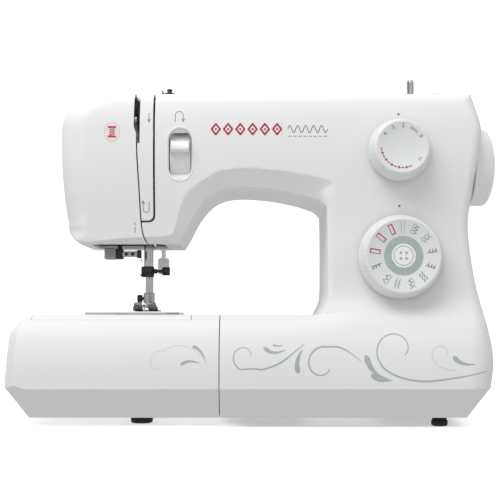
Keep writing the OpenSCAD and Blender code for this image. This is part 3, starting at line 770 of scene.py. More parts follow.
INK_WHITE = ink("ink_white", (0.80, 0.81, 0.81))

FINISH = {"white_shell": WHITE, "grey_shell": UNDER, "rubber": RUBBER, "cast_metal": CAST, "steel": STEEL,
          "chrome": CHROME, "dark_plastic": DARK, "black_plastic": BLACK, "grey_plastic": AMBER,
          "dial_plastic": DIAL, "clear_plastic": CLEAR}
for part in frame["record"]["subparts"]:
    coat(frame["nodes"][part["node"]], FINISH[part["material_slot"]])


# ---------------------------------------------------------------- camera and light

CAMERA_AT = (-0.0055, -0.846, 0.087)
CAMERA_TILT = 93.776
LENS = 72
# the floor's profile: a round floor that curves up into a wall, in metres
FLOOR_RADIUS = [0.01, 0.7, 1.3, 1.6, 1.82, 1.98, 2.08, 2.12, 2.13]
FLOOR_HEIGHT = [0, 0, 0, 0.02, 0.09, 0.22, 0.42, 0.7, 3.4]
FLOOR_SEGMENTS = 72
FLOOR_GLOW = 0.5
# the room's light, how much it grows along each axis, and the soft boxes' stripes in it
ROOM_LIGHT = 0.7
ROOM_SLOPE = (0, 0.06, 0.06)
STRIPE_SCALE = 0.7
STRIPE_DEPTH = 0.34
# name, place, where it looks, size, power
LAMPS = [("key", (-0.4, -0.62, 1.15), (0, 0, 0.15), (1.0, 0.6), 9.0),
         ("top", (0.0, 0.1, 1.6), (0, 0, 0.1), (1.6, 1.2), 1.2)]


def build_camera():
    scene = bpy.context.scene
    scene.view_settings.view_transform = "Standard"
    data = bpy.data.cameras.new("camera")
    data.lens = LENS
    data.sensor_width = 36
    data.clip_start = 0.01
    camera = add_object("camera", data)
    camera.location = CAMERA_AT
    camera.rotation_euler = (math.radians(CAMERA_TILT), 0, 0)
    scene.camera = camera


def build_floor():
    points = []
    for r, z in zip(FLOOR_RADIUS, FLOOR_HEIGHT):
        for k in range(FLOOR_SEGMENTS):
            angle = 2 * math.pi * k / FLOOR_SEGMENTS
            points.append((r * math.cos(angle), r * math.sin(angle), z))
    faces = [tuple(range(FLOOR_SEGMENTS))]
    for i in range(len(FLOOR_RADIUS) - 1):
        a, b = i * FLOOR_SEGMENTS, (i + 1) * FLOOR_SEGMENTS
        for k in range(FLOOR_SEGMENTS):
            m = (k + 1) % FLOOR_SEGMENTS
            faces.append((a + k, b + k, b + m, a + m))
    mesh = bpy.data.meshes.new("floor")
    mesh.from_pydata(points, [], faces)
    mesh.polygons.foreach_set("use_smooth", [True] * len(mesh.polygons))
    floor = add_object("floor", mesh)
    n = Nodes("floor_paper")
    n.link(n.tint(n.between(n.noise(3.0), 0, 1), (0.90, 0.90, 0.90), (0.92, 0.92, 0.92)), "Base Color")
    n.set("Emission Color", (1, 1, 1, 1))
    n.set("Emission Strength", FLOOR_GLOW)
    n.set("Roughness", 0.9)
    n.set("Specular IOR Level", 0.1)
    mesh.materials.append(n.material)
    # the paper shows white, while the soft light comes evenly from the room beyond it
    floor.visible_diffuse = False
    floor.visible_shadow = False
    floor.visible_glossy = False
    floor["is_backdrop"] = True


def build_room():
    """Light from all round: dimmer in front of the machine and below it, with soft stripes."""
    world = bpy.data.worlds.new("studio")
    room = Tree(world, "Background")
    room.set("Color", (1, 1, 1, 1))
    direction = room.add("ShaderNodeTexCoord").outputs["Generated"]
    slope = room.add("ShaderNodeVectorMath", {0: direction, 1: ROOM_SLOPE}, operation="DOT_PRODUCT")
    level = room.add("ShaderNodeMath", {0: slope.outputs["Value"], 1: ROOM_LIGHT}, operation="ADD")
    wave = room.add("ShaderNodeTexWave", {"Vector": direction, "Scale": STRIPE_SCALE, "Distortion": 0})
    stripes = room.add("ShaderNodeMath", {0: wave.outputs["Fac"], 1: 2 * STRIPE_DEPTH, 2: -STRIPE_DEPTH},
                       operation="MULTIPLY_ADD")
    total = room.add("ShaderNodeMath", {0: level.outputs["Value"], 1: stripes.outputs["Value"]})
    room.link(total.outputs["Value"], "Strength")
    bpy.context.scene.world = world


def build_lamps():
    for name, place_at, look_at, size, power in LAMPS:
        lamp = bpy.data.lights.new(name, "AREA")
        lamp.shape = "RECTANGLE"
        lamp.size, lamp.size_y = size
        lamp.energy = power
        made = add_object(name, lamp)
        made.location = place_at
        aim = Vector(look_at) - Vector(place_at)
        made.rotation_euler = aim.to_track_quat("-Z", "Y").to_euler()


build_camera()
build_floor()
build_room()
build_lamps()


# ---------------------------------------------------------------- covers

CELL = 1.7   # size of the grid that the covers are made on
INNER_CELL = 4.0                    # the same for their hidden inner faces


def solid_body(name, field, low, high, cell=None):
    """The outer surface of a field as a solid, kept inside the CAD model's box."""
    points, quads = contour(field, low, high, cell or CELL)
    points = np.clip(points, np.array(CAD_BOUNDS[0]) / MM, np.array(CAD_BOUNDS[1]) / MM)
    return new_mesh(name, points, quads)


def inner_body(name, field, low, high):
    """The field's surface moved in by the wall's thickness."""
    points, quads = contour(lambda x, y, z: field(x, y, z) + WALL, low, high, INNER_CELL)
    return new_mesh(name, points, quads)


def hollow_body(name, field, low, high):
    """A shell: the field's surface outside, and the same surface moved in by the wall inside."""
    return cut(solid_body(name, field, low, high), "DIFFERENCE", inner_body("hollow", field, low, high))


MACHINE_LOW = (HEAD_LEFT - 6, FRONT_Y - 5, 0)
MACHINE_HIGH = (198, BACK_Y + 5, ARM_TOP + 5)
WHEEL_LOW, WHEEL_HIGH = corners("hand_wheel")
WHEEL_HUB = centre("hand_wheel")[1:]
WHEEL_R = (WHEEL_HIGH - WHEEL_LOW)[2] / 2
LIFTER = (-83.7, 168.0)             # x and z of the presser lifter's shaft
SEAM_GAP = 0.35
COVER_ANGLE = 28.0                  # the covers' creases are sharper than this
DIALS = {name: (centre(name)[0], centre(name)[2]) for name in ("stitch_dial", "pattern_dial")}
TENSION = (centre("tension_dial")[0], 217.5)
TENSION_HALF = (10.25, 11.4)
SEAM = [[-97.4, 280], [-97.4, 262], [-97.2, 225], [-96.4, 208], [-95.2, 190], [-93.8, 165],
        [-92.2, 153], [-89.6, 146.5], [-88.8, 140]]


def stadium(half_width, half_straight, steps=12):
    """An upright slot with round ends, about the tension window's centre."""
    x, z = TENSION
    return np.vstack([arc(x, z + half_straight, half_width, 0, 180, steps),
                      arc(x, z - half_straight, half_width, 180, 360, steps)])


def face_region(gap):
    """Left of the seam between the face cover and the rest; gap moves the seam to the left."""
    seam = smooth_curve(SEAM, 4) - [gap, 0]
    return np.vstack([[[-230, 280]], seam, [[-230, 140]]])[::-1]


def rounded_corner_panel(grow):
    """The thread panel's outline, with its lower right corner rounded."""
    left, right, bottom = -108 - grow, -83.6 + grow, 164.0 - grow
    corner = arc(right - 4.5 - grow * 0.4, bottom + 4.5 + grow * 0.4, 4.5 + grow * 0.4, -90, 0, 8)
    return np.vstack([[[left, bottom]], corner, [[right - 0.3, 230], [right - 0.6, 282], [left, 282]]])


def finish_cover(made):
    """Shading of a large cover.

    The Booleans leave an empty first slot, and every face uses it: the covers show Blender's plain
    default surface, and WHITE stands in a second slot that no face uses.
    """
    made.data.materials.append(WHITE)
    shade(made.data, COVER_ANGLE)


def build_machine_covers():
    body = hollow_body("front_shell", machine_field, MACHINE_LOW, MACHINE_HIGH)
    # pocket for the hand wheel, with its own floor and rim
    outer = solid_body("pocket_wall", machine_field, MACHINE_LOW, MACHINE_HIGH, 3.0)
    cut(outer, "INTERSECT", rod("cup", *WHEEL_HUB, WHEEL_R + 5.2, 175.4, 215, "x"))
    cut(body, "UNION", outer)
    cut(body, "DIFFERENCE", rod("pocket", *WHEEL_HUB, WHEEL_R + 2.6, 178, 215, "x"),
        rod("bore", *WHEEL_HUB, 7, 150, 200, "x"))
    # ways through: free arm, needle, tray, tension window, lifter, winder, power inlet
    cut(body, "DIFFERENCE",
        block("arm_way", (BASE_LEFT - 8, -31, 34), (BASE_LEFT + 10, 31, 84), 4),
        block("mouth", (-137, -21, HEAD_Z - 8), (-76, 34, HEAD_Z + 4.5), 6, axis="z"),
        block("tray_way", TRAY_LOW - [0.5, 0.5, 5], TRAY_HIGH + [0.5, 0.5, 12], 7, axis="z"),
        prism("window", stadium(*TENSION_HALF), -70, -30),
        rod("lifter_way", *LIFTER, 4, 40, 70),
        block("winder_way", (126, -12.5, 255), (141, -3.5, 290), 4.4, axis="z"),
        block("socket_way", (180, 11.8, 37.8), (200, 50.2, 60.2), 2, axis="x"),
        block("socket_seat", (190.9, 9.7, 35.7), (200, 52.3, 62.3), 2, axis="x"))
    for k, (x, z) in enumerate(((-70, 208), (40, 215), (72, 150), (160, 150))):
        cut(body, "DIFFERENCE", rod("screw_way%d" % k, x, z, 3.8, 49, 70))
    # cooling slots through the back, low on the pillar
    for k in range(7):
        z = 70 + 7.5 * k
        cut(body, "DIFFERENCE", block("vent%d" % k, (96, 40, z), (142, 90, z + 3), 1.4, axis="y"))
    # needle bar's panel: the face cover, the narrow thread panel, then front and back
    face = duplicate(body, "face_shell")
    cut(face, "INTERSECT", prism("left_part", face_region(SEAM_GAP), -120, 120))
    take_up_slot = np.array([[-96.4, 226], [-94.6, 226], [-94.6, 270.5], [-99.6, 270.5], [-99.6, 240.5],
                             [-98.4, 236.5], [-96.6, 232]])
    cut(face, "DIFFERENCE", prism("lever_way", take_up_slot, -90, -14))
    cut(body, "DIFFERENCE", prism("lever_way_right", take_up_slot, -90, -14))
    cut(body, "DIFFERENCE", prism("left_cut", face_region(-0.75), -120, 120))
    panel = duplicate(body, "panel_shell")
    cut(panel, "INTERSECT", prism("panel_part", rounded_corner_panel(0), -90, -12))
    cut(body, "DIFFERENCE", prism("panel_cut", rounded_corner_panel(1.7), -90, -10))
    back = duplicate(body, "back_shell")
    cut(body, "INTERSECT", block("front_half", (-300, -200, -20), (300, SPLIT_Y - SEAM_GAP / 2, 400)))
    cut(back, "INTERSECT", block("back_half", (-300, SPLIT_Y + SEAM_GAP / 2, -20), (300, 200, 400)))
    for made in (face, panel, body, back):
        finish_cover(made)
    place(body, "machine", "white_shell", "front_cover")
    place(back, "machine", "white_shell", "rear_cover")
    place(panel, "machine", "white_shell", "thread_panel")
    place(face, "face_cover", "white_shell", "face_cover")


build_machine_covers()


# ---------------------------------------------------------------- table, free arm, tray, handle

TABLE_RIGHT = TABLE_HIGH[0]
TABLE_OUTLINE = np.vstack([
    [[TABLE_RIGHT, -60], [TABLE_RIGHT, BED_TOP]],
    arc(TABLE_LOW[0] + 20, BED_TOP - 18, 18, 90, 175, 16),
    [[TABLE_LOW[0], CREASE_Z], [TABLE_LOW[0], -60]]])
table_edge = distance_table(TABLE_OUTLINE, (-215, -20), (10, 110))


def table_field(x, y, z):
    """Below zero inside the extension table's outer form."""
    fy, fs = BASE_FRONT[0](z), np.sqrt(1 + BASE_FRONT[1](z) ** 2)
    by, bs = BASE_BACK[0](z), np.sqrt(1 + BASE_BACK[1](z) ** 2)
    side = np.maximum((fy - y) / fs, (y - by) / bs)
    radius = blend(2.5, 20.0, ramp(-177, -193, x))
    radius = blend(radius, 0.7, ramp(TABLE_RIGHT - 8, TABLE_RIGHT - 1, x))
    shifted = x - 0.5 * DRAW_IN * towards_front(y) * ramp(-120, -170, x)
    shape = round_max(table_edge(shifted, z), side, radius)
    shape = np.maximum(shape, turned_in(TABLE_LOW[0] - shifted, side, z))
    return np.maximum(shape, FOOT_H - z)


def box_distance(x, y, z, low, high, radius):
    """Distance to a box with rounded edges, negative inside."""
    mid = (np.array(low, float) + high) / 2
    half = (np.array(high, float) - low) / 2 - radius
    q = [np.abs(v - m) - h for v, m, h in zip((x, y, z), mid, half)]
    away = np.sqrt(sum(np.maximum(v, 0) ** 2 for v in q))
    return away + np.minimum(np.maximum(np.maximum(q[0], q[1]), q[2]), 0) - radius


def arm_plan(grow):
    """The free arm's slot from above, rounded at its end."""
    left, right = ARM_LOW[0] - grow, BASE_LEFT + 5
    near, far = ARM_LOW[1] - 0.4 - grow, ARM_HIGH[1] + 0.4 + grow
    r = 22 + grow
    return np.vstack([[[right, near], [right, far]], arc(left + r, far - r, r, 90, 180, 16),
                      arc(left + r, near + r, r, 180, 270, 16)])


def build_table():
    low = (TABLE_LOW[0] - 5, TABLE_LOW[1] - 5, 0)
    high = (TABLE_RIGHT + 5, TABLE_HIGH[1] + 5, BED_TOP + 5)
    table = solid_body("table_shell", table_field, low, high)
    whole = duplicate(table, "lid_shell")
    front_bay = inner_body("front_bay", table_field, low, high)
    back_bay = duplicate(front_bay, "back_bay")
    reach = (TABLE_LOW[0] + 11, TABLE_RIGHT - 3.4)
    cut(front_bay, "INTERSECT", block("front_room", (reach[0], -90, 0), (reach[1], ARM_LOW[1] - 3.5, 100)))
    cut(back_bay, "INTERSECT", block("back_room", (reach[0], ARM_HIGH[1] + 3.5, 0), (reach[1], 90, 100)))
    slot = prism("slot", arm_plan(1.0), -10, 120, "z")
    mouth = block("lid_mouth", (LID_LOW[0] - 0.4, LID_LOW[1] - 0.4, BED_TOP - 6),
                  (LID_HIGH[0] + 0.4, LID_HIGH[1] + 0.4, BED_TOP + 20))
    cut(table, "DIFFERENCE", slot, front_bay, back_bay, mouth)
    cut(whole, "INTERSECT", block("lid_part", (LID_LOW[0], LID_LOW[1], BED_TOP - 4.6),
                                  (LID_HIGH[0], LID_HIGH[1], BED_TOP + 20)))
    # the lid's hollow underside
    cut(whole, "DIFFERENCE", block("lid_under", (LID_LOW[0] + 2, LID_LOW[1] + 2, BED_TOP - 12),
                                   (LID_HIGH[0] - 2, LID_HIGH[1] - 4, BED_TOP - 4), 1.5, axis="z"))
    for made, body, node in ((table, "extension_table", "extension_table"),
                             (whole, "storage_lid", "storage_lid")):
        finish_cover(made)
        place(made, body, "white_shell", node)


def build_free_arm():
    def field(x, y, z):
        profile = box_distance(x * 0, y, z, (-50, *ARM_LOW[1:]), (50, ARM_HIGH[1], BED_TOP), 4.0)
        plan = box_distance(x, y, z * 0, (ARM_LOW[0], ARM_LOW[1] - 0.4, -100),
                            (100, ARM_HIGH[1] + 0.4, 100), 22.0)
        return np.maximum(round_max(profile, plan, 3.0), x - ARM_HIGH[0])

    low, high = ARM_LOW - 4, ARM_HIGH + 4
    arm = solid_body("arm_shell", field, low, high, 2.2)
    points, quads = contour(lambda x, y, z: np.maximum(field(x, y, z) + WALL, x - ARM_HIGH[0] + 1),
                            low, high, 3.0)
    cut(arm, "DIFFERENCE", new_mesh("arm_hollow", points, quads),
        block("arm_end", (ARM_HIGH[0] - 3, -31, 34), (ARM_HIGH[0] + 5, 29, 84), 3, axis="x"),
        block("hook_way", (-118, -32, BED_TOP - 5), (-67, 30, BED_TOP + 3), 4, axis="z"))
    finish_cover(arm)
    place(arm, "machine", "white_shell", "free_arm_cover")


def build_tray():
    tray = block("tray", TRAY_LOW, (*TRAY_HIGH[:2], ARM_TOP), 6.5, 0.7, "z", WHITE)
    cut(tray, "DIFFERENCE", block("tray_room", TRAY_LOW + WALL, (*TRAY_HIGH[:2] - WALL, ARM_TOP + 4), 5,
                                  0.0, "z"))
    hub_y, hub_z = centre("handle_pins")[1:]
    for x in (-34.5, 33.5):
        outline = np.vstack([[[hub_y - 6, TRAY_LOW[2] + 1.5], [hub_y + 7, TRAY_LOW[2] + 1.5]],
                             arc(hub_y, hub_z, 6, 12, 168, 16)])
        ear = prism("ear", outline, x, x + 5, "x", 0.8)
        cut(ear, "DIFFERENCE", rod("pin_way", hub_y, hub_z, 2.52, x - 2, x + 7, "x", 32))
        cut(tray, "UNION", ear)
    outward(tray)
    coat(tray, WHITE)
    shade(tray.data, 30)
    place(tray, "machine", "white_shell", "top_cover")


def build_handle():
    low, high = corners("handle")
    hub_y, hub_z = centre("handle_pins")[1:]

    def field(x, y, z):
        shape = box_distance(x, y, z, (low[0], high[1] - 10, low[2]), (*high[:2], low[2] + 10), 3.6)
        for x0 in (low[0], high[0] - 5.5):
            side = box_distance(x, y, z, (x0, hub_y, 270), (x0 + 5.5, high[1] - 1, low[2] + 10), 1.8)
            ring = np.hypot(y - hub_y, z - hub_z) - 5.0
            hub = round_max(ring, np.abs(x - x0 - 2.75) - 2.75, 1.0)
            shape = np.minimum(shape, np.minimum(side, hub))
        # finger grooves under the grip
        groove = np.abs(np.mod(x + 7, 14) - 7)
        dent = np.hypot(np.maximum(groove - 3.5, 0), z - low[2] + 4.6) - 5.4
        near = (x < low[0] + 12) | (x > high[0] - 12)
        return np.maximum(shape, np.where(near, -9.0, -dent))

    points, quads = contour(field, low - 3, high + 3, 1.0)
    handle = new_mesh("handle_grip", points, quads, SATIN, 40)
    for x0 in (low[0], high[0] - 5.5):
        cut(handle, "DIFFERENCE", rod("pin_bore", hub_y, hub_z, 2.56, x0 - 3, x0 + 9, "x", 32))
    shade(handle.data, 40)
    place(handle, "handle", "white_shell", "handle")


build_table()
build_free_arm()
build_tray()
build_handle()


# ---------------------------------------------------------------- dials and hand wheel

def ribbed(count, depth, rows, power=2):
    """Fine ribs round a turned piece, on the given rows of its profile."""
    def change(angles, k):
        return -depth * (0.5 + 0.5 * np.cos(angles * count)) ** power if k in rows else 0
    return change


DIAL_BACK = -49.4                   # y of the dials' backs
SUNK = 0.12                         # how deep their faces lie below their rims


def build_dial(node, count):
    """A dial with a ribbed skirt and a sunken face; returns the face's y."""
    low, high = corners(node)
    cx, cz = DIALS[node]
    r = (high - low)[0] / 2
    back = DIAL_BACK
    rise = back - low[1]
    steps = [(r - 0.6, 0), (r, 0.6), (r, 1.6), (r - 0.5, 3.2), (r - 0.6, 4), (r - 1.4, 8.5), (r - 2.8, 13.5),
             (r - 3.1, 14.3), (r - 3.3, 15.2), (r - 3.5, 16.4), (r - 3.9, 17.15), (r - 4.6, rise),
             (r - 5.4, rise), (r - 5.6, rise - SUNK), (1.0, rise - SUNK)]
    profile = [(a, back - b) for a, b in steps]
    dial = lathe(node + "_knob", profile, cx, cz, "y", 288, SATIN, ribbed(count, 0.34, range(4, 7)), 40)
    dial.data.materials.append(DIAL)
    for face in dial.data.polygons:
        mid = face.center / MM
        if mid[1] < back - rise + 0.3 and math.hypot(mid[0] - cx, mid[2] - cz) < r - 4.2:
            face.material_index = 1
    shaft = rod(node + "_shaft", cx, cz, 2.9, back + 1, back + 40, "y", 32, SATIN)
    dial = join(node + "_turned", dial, shaft)
    dial.data.materials.append(DIAL)
    place(dial, node, "dial_plastic", node)
    return back - rise + SUNK


def build_wheel():
    r = WHEEL_R
    x = WHEEL_LOW[0]
    end = WHEEL_HIGH[0]
    profile = [(5.1, x + 0.6), (r - 0.8, x), (r, x + 0.8), (r, x + 1.8), (r - 0.3, x + 2.4),
               (r - 0.5, end - 8.6), (r - 0.7, end - 7.6), (r - 1.3, end - 6.5), (r - 2.4, end - 5.4),
               (r - 4.6, end - 4.1), (r - 7.5, end - 2.9), (r - 10.5, end - 2.0), (r - 13, end - 1.6),
               (r - 14.2, end - 2.6), (10, end - 2.8), (8, end - 1.2), (5, end - 0.3), (1, end)]
    wheel = lathe("wheel_turned", profile, *WHEEL_HUB, "x", 288, WHEEL, ribbed(96, 0.45, (4, 5)), 38)
    place(wheel, "drive_shaft", "dial_plastic", "hand_wheel")


STITCH_FACE = build_dial("stitch_dial", 84)
PATTERN_FACE = build_dial("pattern_dial", 112)
build_wheel()


# ---------------------------------------------------------------- printed marks

def surface_finder(field, near=-90.0, far=0.0):
    """Y of a body's front surface at each (x, z)."""
    def find(x, z):
        x = np.asarray(x, float)
        z = np.asarray(z, float)
        a = np.full(x.shape, near)
        b = np.full(x.shape, far)
        for _ in range(26):
            mid = (a + b) / 2
            inside = field(x, mid, z) < 0
            b = np.where(inside, mid, b)
            a = np.where(inside, a, mid)
        return (a + b) / 2
    return find


on_machine = surface_finder(machine_field)
on_table = surface_finder(table_field)


def flat(y):
    return lambda x, z: np.full(np.shape(x), y)


class Print:
    """Collects thin raised strokes and shapes that lie on one surface, then makes one piece."""

    def __init__(self, name, surface, material, rise=0.12, sink=0.25):
        self.name = name
        self.surface = surface
        self.material = material
        self.rise = rise
        self.sink = sink
        self.points = []
        self.faces = []
        self.count = 0

    def grid(self, x, z):
        """A closed sheet over a grid of (x, z) places."""
        y = self.surface(x.ravel(), z.ravel()).reshape(x.shape)
        for level in (y - self.rise, y + self.sink):
            self.points.append(np.stack([x, level, z], axis=-1).reshape(-1, 3))
        self.faces += sheet_faces(*x.shape, self.count)
        self.count += 2 * x.size

    def stroke(self, path, width, columns=2):
        """A line of one width, or one width for each point of the path."""
        p = np.asarray(path, float)
        widths = np.broadcast_to(np.asarray(width, float), (len(p),))
        way = np.gradient(p, axis=0)
        way /= np.maximum(np.linalg.norm(way, axis=1), 1e-9)[:, None]
        across = np.stack([-way[:, 1], way[:, 0]], axis=1)
        s = np.linspace(-0.5, 0.5, columns)
        x = p[:, :1] + across[:, :1] * widths[:, None] * s
        z = p[:, 1:] + across[:, 1:] * widths[:, None] * s
        self.grid(x, z)

    def line(self, *path, width=0.6):
        """Straight strokes from point to point."""
        for a, b in zip(path, path[1:]):
            a = np.asarray(a, float)
            b = np.asarray(b, float)
            along = (b - a) / max(np.linalg.norm(b - a), 1e-9) * width * 0.25
            self.stroke(np.linspace(a - along, b + along, 3), width)

    def ellipse(self, cx, cz, rx, rz, steps=28, hole=0.0):
        angles = np.linspace(0, 2 * math.pi, steps + 1)
        scale = np.linspace(max(hole, 0.02), 1, 4)[:, None]
        self.grid(cx + rx * scale * np.cos(angles), cz + rz * scale * np.sin(angles))

    def build(self, body):
        made = new_mesh(self.name, np.vstack(self.points), self.faces, self.material)
        work = bmesh.new()
        work.from_mesh(made.data)
        bmesh.ops.remove_doubles(work, verts=work.verts, dist=1e-7)
        bmesh.ops.dissolve_degenerate(work, edges=work.edges, dist=1e-8)
        bmesh.ops.recalc_face_normals(work, faces=work.faces)
        work.to_mesh(made.data)
        work.free()
        place(made, body, "dial_plastic")


def leaf(points, widest):
    """A drop-shaped leaf: round at its first point, drawn out to its last."""
    path = smooth_curve(points, 8)
    t = np.linspace(0, 1, len(path))
    return path, widest * np.sqrt(np.clip(t / 0.16, 0, 1)) * (1 - t) ** 0.8 + 0.12


def hook(cx, cz, radius, turn, start, tail, steps=26):
    """A scroll that unwinds from its middle into a tail of given points."""
    t = np.linspace(0, 1, steps)
    r = radius * (0.42 + 0.58 * t)
    a = np.radians(start + turn * t)
    head = np.column_stack([cx + r * np.cos(a), cz + r * np.sin(a)])
    return np.vstack([head, smooth_curve(np.vstack([head[-1:], tail]), 10)[1:]])


def swelling(path, places, widths):
    """A width for each point of a path, from the widths at a few places between 0 and 1."""
    return np.interp(np.linspace(0, 1, len(path)), places, widths)


def scrolls():
    """Vine ornament of scrolls and leaves on the front of the base and the table."""
    base = Print("scrolls_base", on_machine, INK_SAGE, 0.1)
    pale = Print("scrolls_base_pale", on_machine, INK_PALE, 0.1)
    for scroll, tail, widths in (
            ((-9.4, 56, 10.5, 250, 0), [[-2.5, 46.6], [5, 46.2], [18, 51.2], [29, 59.5], [36.5, 65.5]],
             [0.5, 1.1, 1.4, 0.4]),
            ((50.5, 49.5, 14, -240, -35), [[54, 63.3], [63, 63], [72, 58.5], [80.5, 51.5]],
             [0.9, 1.5, 1.1, 0.3]),
            ((108, 61, 16.5, 240, -35), [[98, 46.5], [110, 40], [129, 37], [155, 40], [177.5, 44.5]],
             [0.7, 1.2, 1.5, 0.5])):
        path = hook(*scroll, tail)
        base.stroke(path, swelling(path, [0, 0.4, 0.75, 1], widths))
    pale.stroke(hook(142.5, 58, 8, 235, -45, [[137.5, 50.5], [144, 46.5], [153, 45.2]]), 0.7)
    for points, widest in (([[5, 63], [10, 59.5], [16, 59], [22, 61]], 3.4),
                           ([[12, 64.5], [16, 64], [20, 64.3]], 1.8),
                           ([[31.6, 43], [30.6, 50], [32.5, 57], [35, 61]], 4.6),
                           ([[83.5, 57], [87, 48], [93, 41.5], [101, 38.5]], 5.2),
                           ([[87.5, 42.5], [92, 38.7], [98, 37.6], [104, 38]], 4.0),
                           ([[151, 56], [155, 52], [161, 50], [168, 49.8]], 4.2)):
        base.stroke(*leaf(points, widest), 5)
    base.build("machine")
    pale.build("machine")
    table = Print("scrolls_table", on_table, INK_SAGE, 0.1)
    faint = Print("scrolls_table_pale", on_table, INK_PALE, 0.1)
    for points, widest in (([[-50, 63.5], [-46, 62], [-42, 57.5], [-39.5, 52]], 3.0),
                           ([[-59, 49.5], [-54, 52], [-49, 52], [-44, 51]], 2.8)):
        table.stroke(*leaf(points, widest), 5)
    path = hook(-75, 51, 10, -235, -60, [[-70, 62], [-60, 64.4], [-50, 61.5], [-42, 55.5], [-38.5, 50]])
    faint.stroke(path, swelling(path, [0, 0.5, 1], [0.4, 0.7, 0.25]))
    table.build("extension_table")
    faint.build("extension_table")


def turned(cx, cz, angle, points):
    """Places on a dial for points given as (outwards, sideways) at an angle."""
    a = math.radians(angle)
    out = np.array([math.cos(a), math.sin(a)])
    side = np.array([-math.sin(a), math.cos(a)])
    return [np.array([cx, cz]) + out * u + side * v for u, v in points]


def digit(name, text, x, z, angle, size, y, body):
    """A printed figure that faces the user, turned with the dial."""
    curve = bpy.data.curves.new(name, "FONT")
    curve.body = text
    curve.size = size * MM
    curve.align_x = "CENTER"
    curve.align_y = "CENTER"
    curve.extrude = 0.0001
    curve.resolution_u = 4
    made = add_object(name, curve)
    made.rotation_euler = (math.radians(90), 0, 0)
    bpy.context.view_layer.update()
    graph = bpy.context.evaluated_depsgraph_get()
    mesh = bpy.data.meshes.new_from_object(made.evaluated_get(graph))
    bpy.data.objects.remove(made)
    bpy.data.curves.remove(curve)
    a = math.radians(angle - 90)
    for vertex in mesh.vertices:
        u, v, w = vertex.co
        vertex.co = (x * MM + u * math.cos(a) - v * math.sin(a), y * MM - w,
                     z * MM + u * math.sin(a) + v * math.cos(a))
    mesh.materials.append(INK_GREY)
    place(add_object(name, mesh), body, "dial_plastic")


def stitch_dial_marks():
    cx, cz = DIALS["stitch_dial"]
    red = Print("stitch_marks_red", flat(STITCH_FACE), INK_RED)
    grey = Print("stitch_marks_grey", flat(STITCH_FACE), INK_GREY)
    # running stitches round the lower left
    for k in range(11):
        a = 187 + 10.4 * k
        red.line(*turned(cx, cz, a, [(16.6, -1.0), (16.6, 1.0)]), width=0.75)
        if k % 2:
            red.line(*turned(cx, cz, a, [(15.6, 0), (17.6, 0)]), width=0.55)
    # short stitches between the figures
    for k in range(6):
        a = 66 - 4.6 * k
        (red if k < 4 else grey).line(*turned(cx, cz, a, [(15.6, 0), (17.6 - 0.15 * k, 0)]), width=0.5)
    for a in (-32, -38):
        grey.line(*turned(cx, cz, a, [(15.8, 0), (17.8, 0)]), width=0.5)
    red.build("stitch_dial")
    grey.build("stitch_dial")
    for text, angle in (("4", 143), ("3", 115), ("2", 88), ("0", 30)):
        (x, z), = turned(cx, cz, angle, [(16.8, 0)])
        digit("figure_" + text, text, x, z, angle, 4.6, STITCH_FACE - 0.02, "stitch_dial")


def pattern_dial_marks():
    cx, cz = DIALS["pattern_dial"]
    face = flat(PATTERN_FACE)
    red = Print("pattern_marks_red", face, INK_RED)
    grey = Print("pattern_marks_grey", face, INK_GREY)
    blue = Print("pattern_marks_blue", face, INK_BLUE)
    disc = Print("pattern_disc", face, INK_SAGE, 0.08)
    disc.ellipse(cx, cz, 15.4, 15.4, 72)
    disc.build("pattern_dial")
    # a four-hole button in the middle
    button = Print("button_mark", face, INK_WHITE, 0.16)
    button.ellipse(cx, cz, 9.4, 9.4, 56, 0.84)
    button.ellipse(cx, cz, 7.2, 7.2, 56, 0.0)
    button.build("pattern_dial")
    holes = Print("button_holes", face, INK_SAGE, 0.22)
    for dx in (-2.2, 2.2):
        for dz in (-2.2, 2.2):
            holes.ellipse(cx + dx, cz + dz, 1.15, 1.15, 20)
    holes.build("pattern_dial")

    def draw(which, angle, *points, width=0.42):
        which.line(*turned(cx, cz, angle, points), width=width)

    first, last = 18.6, 26.2
    span = np.linspace(first, last, 7)
    # straight stitches, as two dotted lines
    for u in span:
        draw(grey, 91, (u, 1.3), (u + 0.5, 1.3))
        draw(grey, 91, (u, -1.3), (u + 0.5, -1.3))
    # zigzags of different widths
    for angle, half, which, steps in ((65, 1.7, grey, 7), (36, 1.5, blue, 6), (-76, 1.3, grey, 6),
                                      (-128, 1.5, grey, 5)):
        zig = [(u, half * (-1) ** k) for k, u in enumerate(np.linspace(first, last, steps))]
        draw(which, angle, *zig)
        draw(grey if which is blue else blue, angle, (first, half + 1.1), (last, half + 1.1), width=0.32)
    # blind hems: a line with peaks
    for angle in (10, -20, -158):
        draw(grey, angle, (first, -1.2), (last, -1.2), width=0.5)
        for u in (first + 1.5, first + 4, first + 6.5):
            draw(grey, angle, (u, -1.1), (u + 0.5, 1.2), (u + 1.0, -1.1), width=0.36)
    # scallops and waves
    for angle, which in ((-47, grey), (-103, blue)):
        for side in (-1.3, 1.1):
            u = np.linspace(first, last, 22)
            path = turned(cx, cz, angle, [(a, side + 0.7 * math.sin(2.4 * (a - first))) for a in u])
            which.stroke(np.array(path), 0.4)
    # buttonholes: an outline with a bar across
    for angle in (171, 141, 114):
        draw(red, angle, (first, -1.5), (last, -1.5), width=0.85)
        draw(red, angle, (first, 1.5), (last, 1.5), width=0.5)
        draw(red, angle, (first, -1.5), (first, 1.5), width=0.7)
        draw(red, angle, (last, -1.5), (last, 1.5), width=0.7)
    for made in (red, grey, blue):
        made.build("pattern_dial")


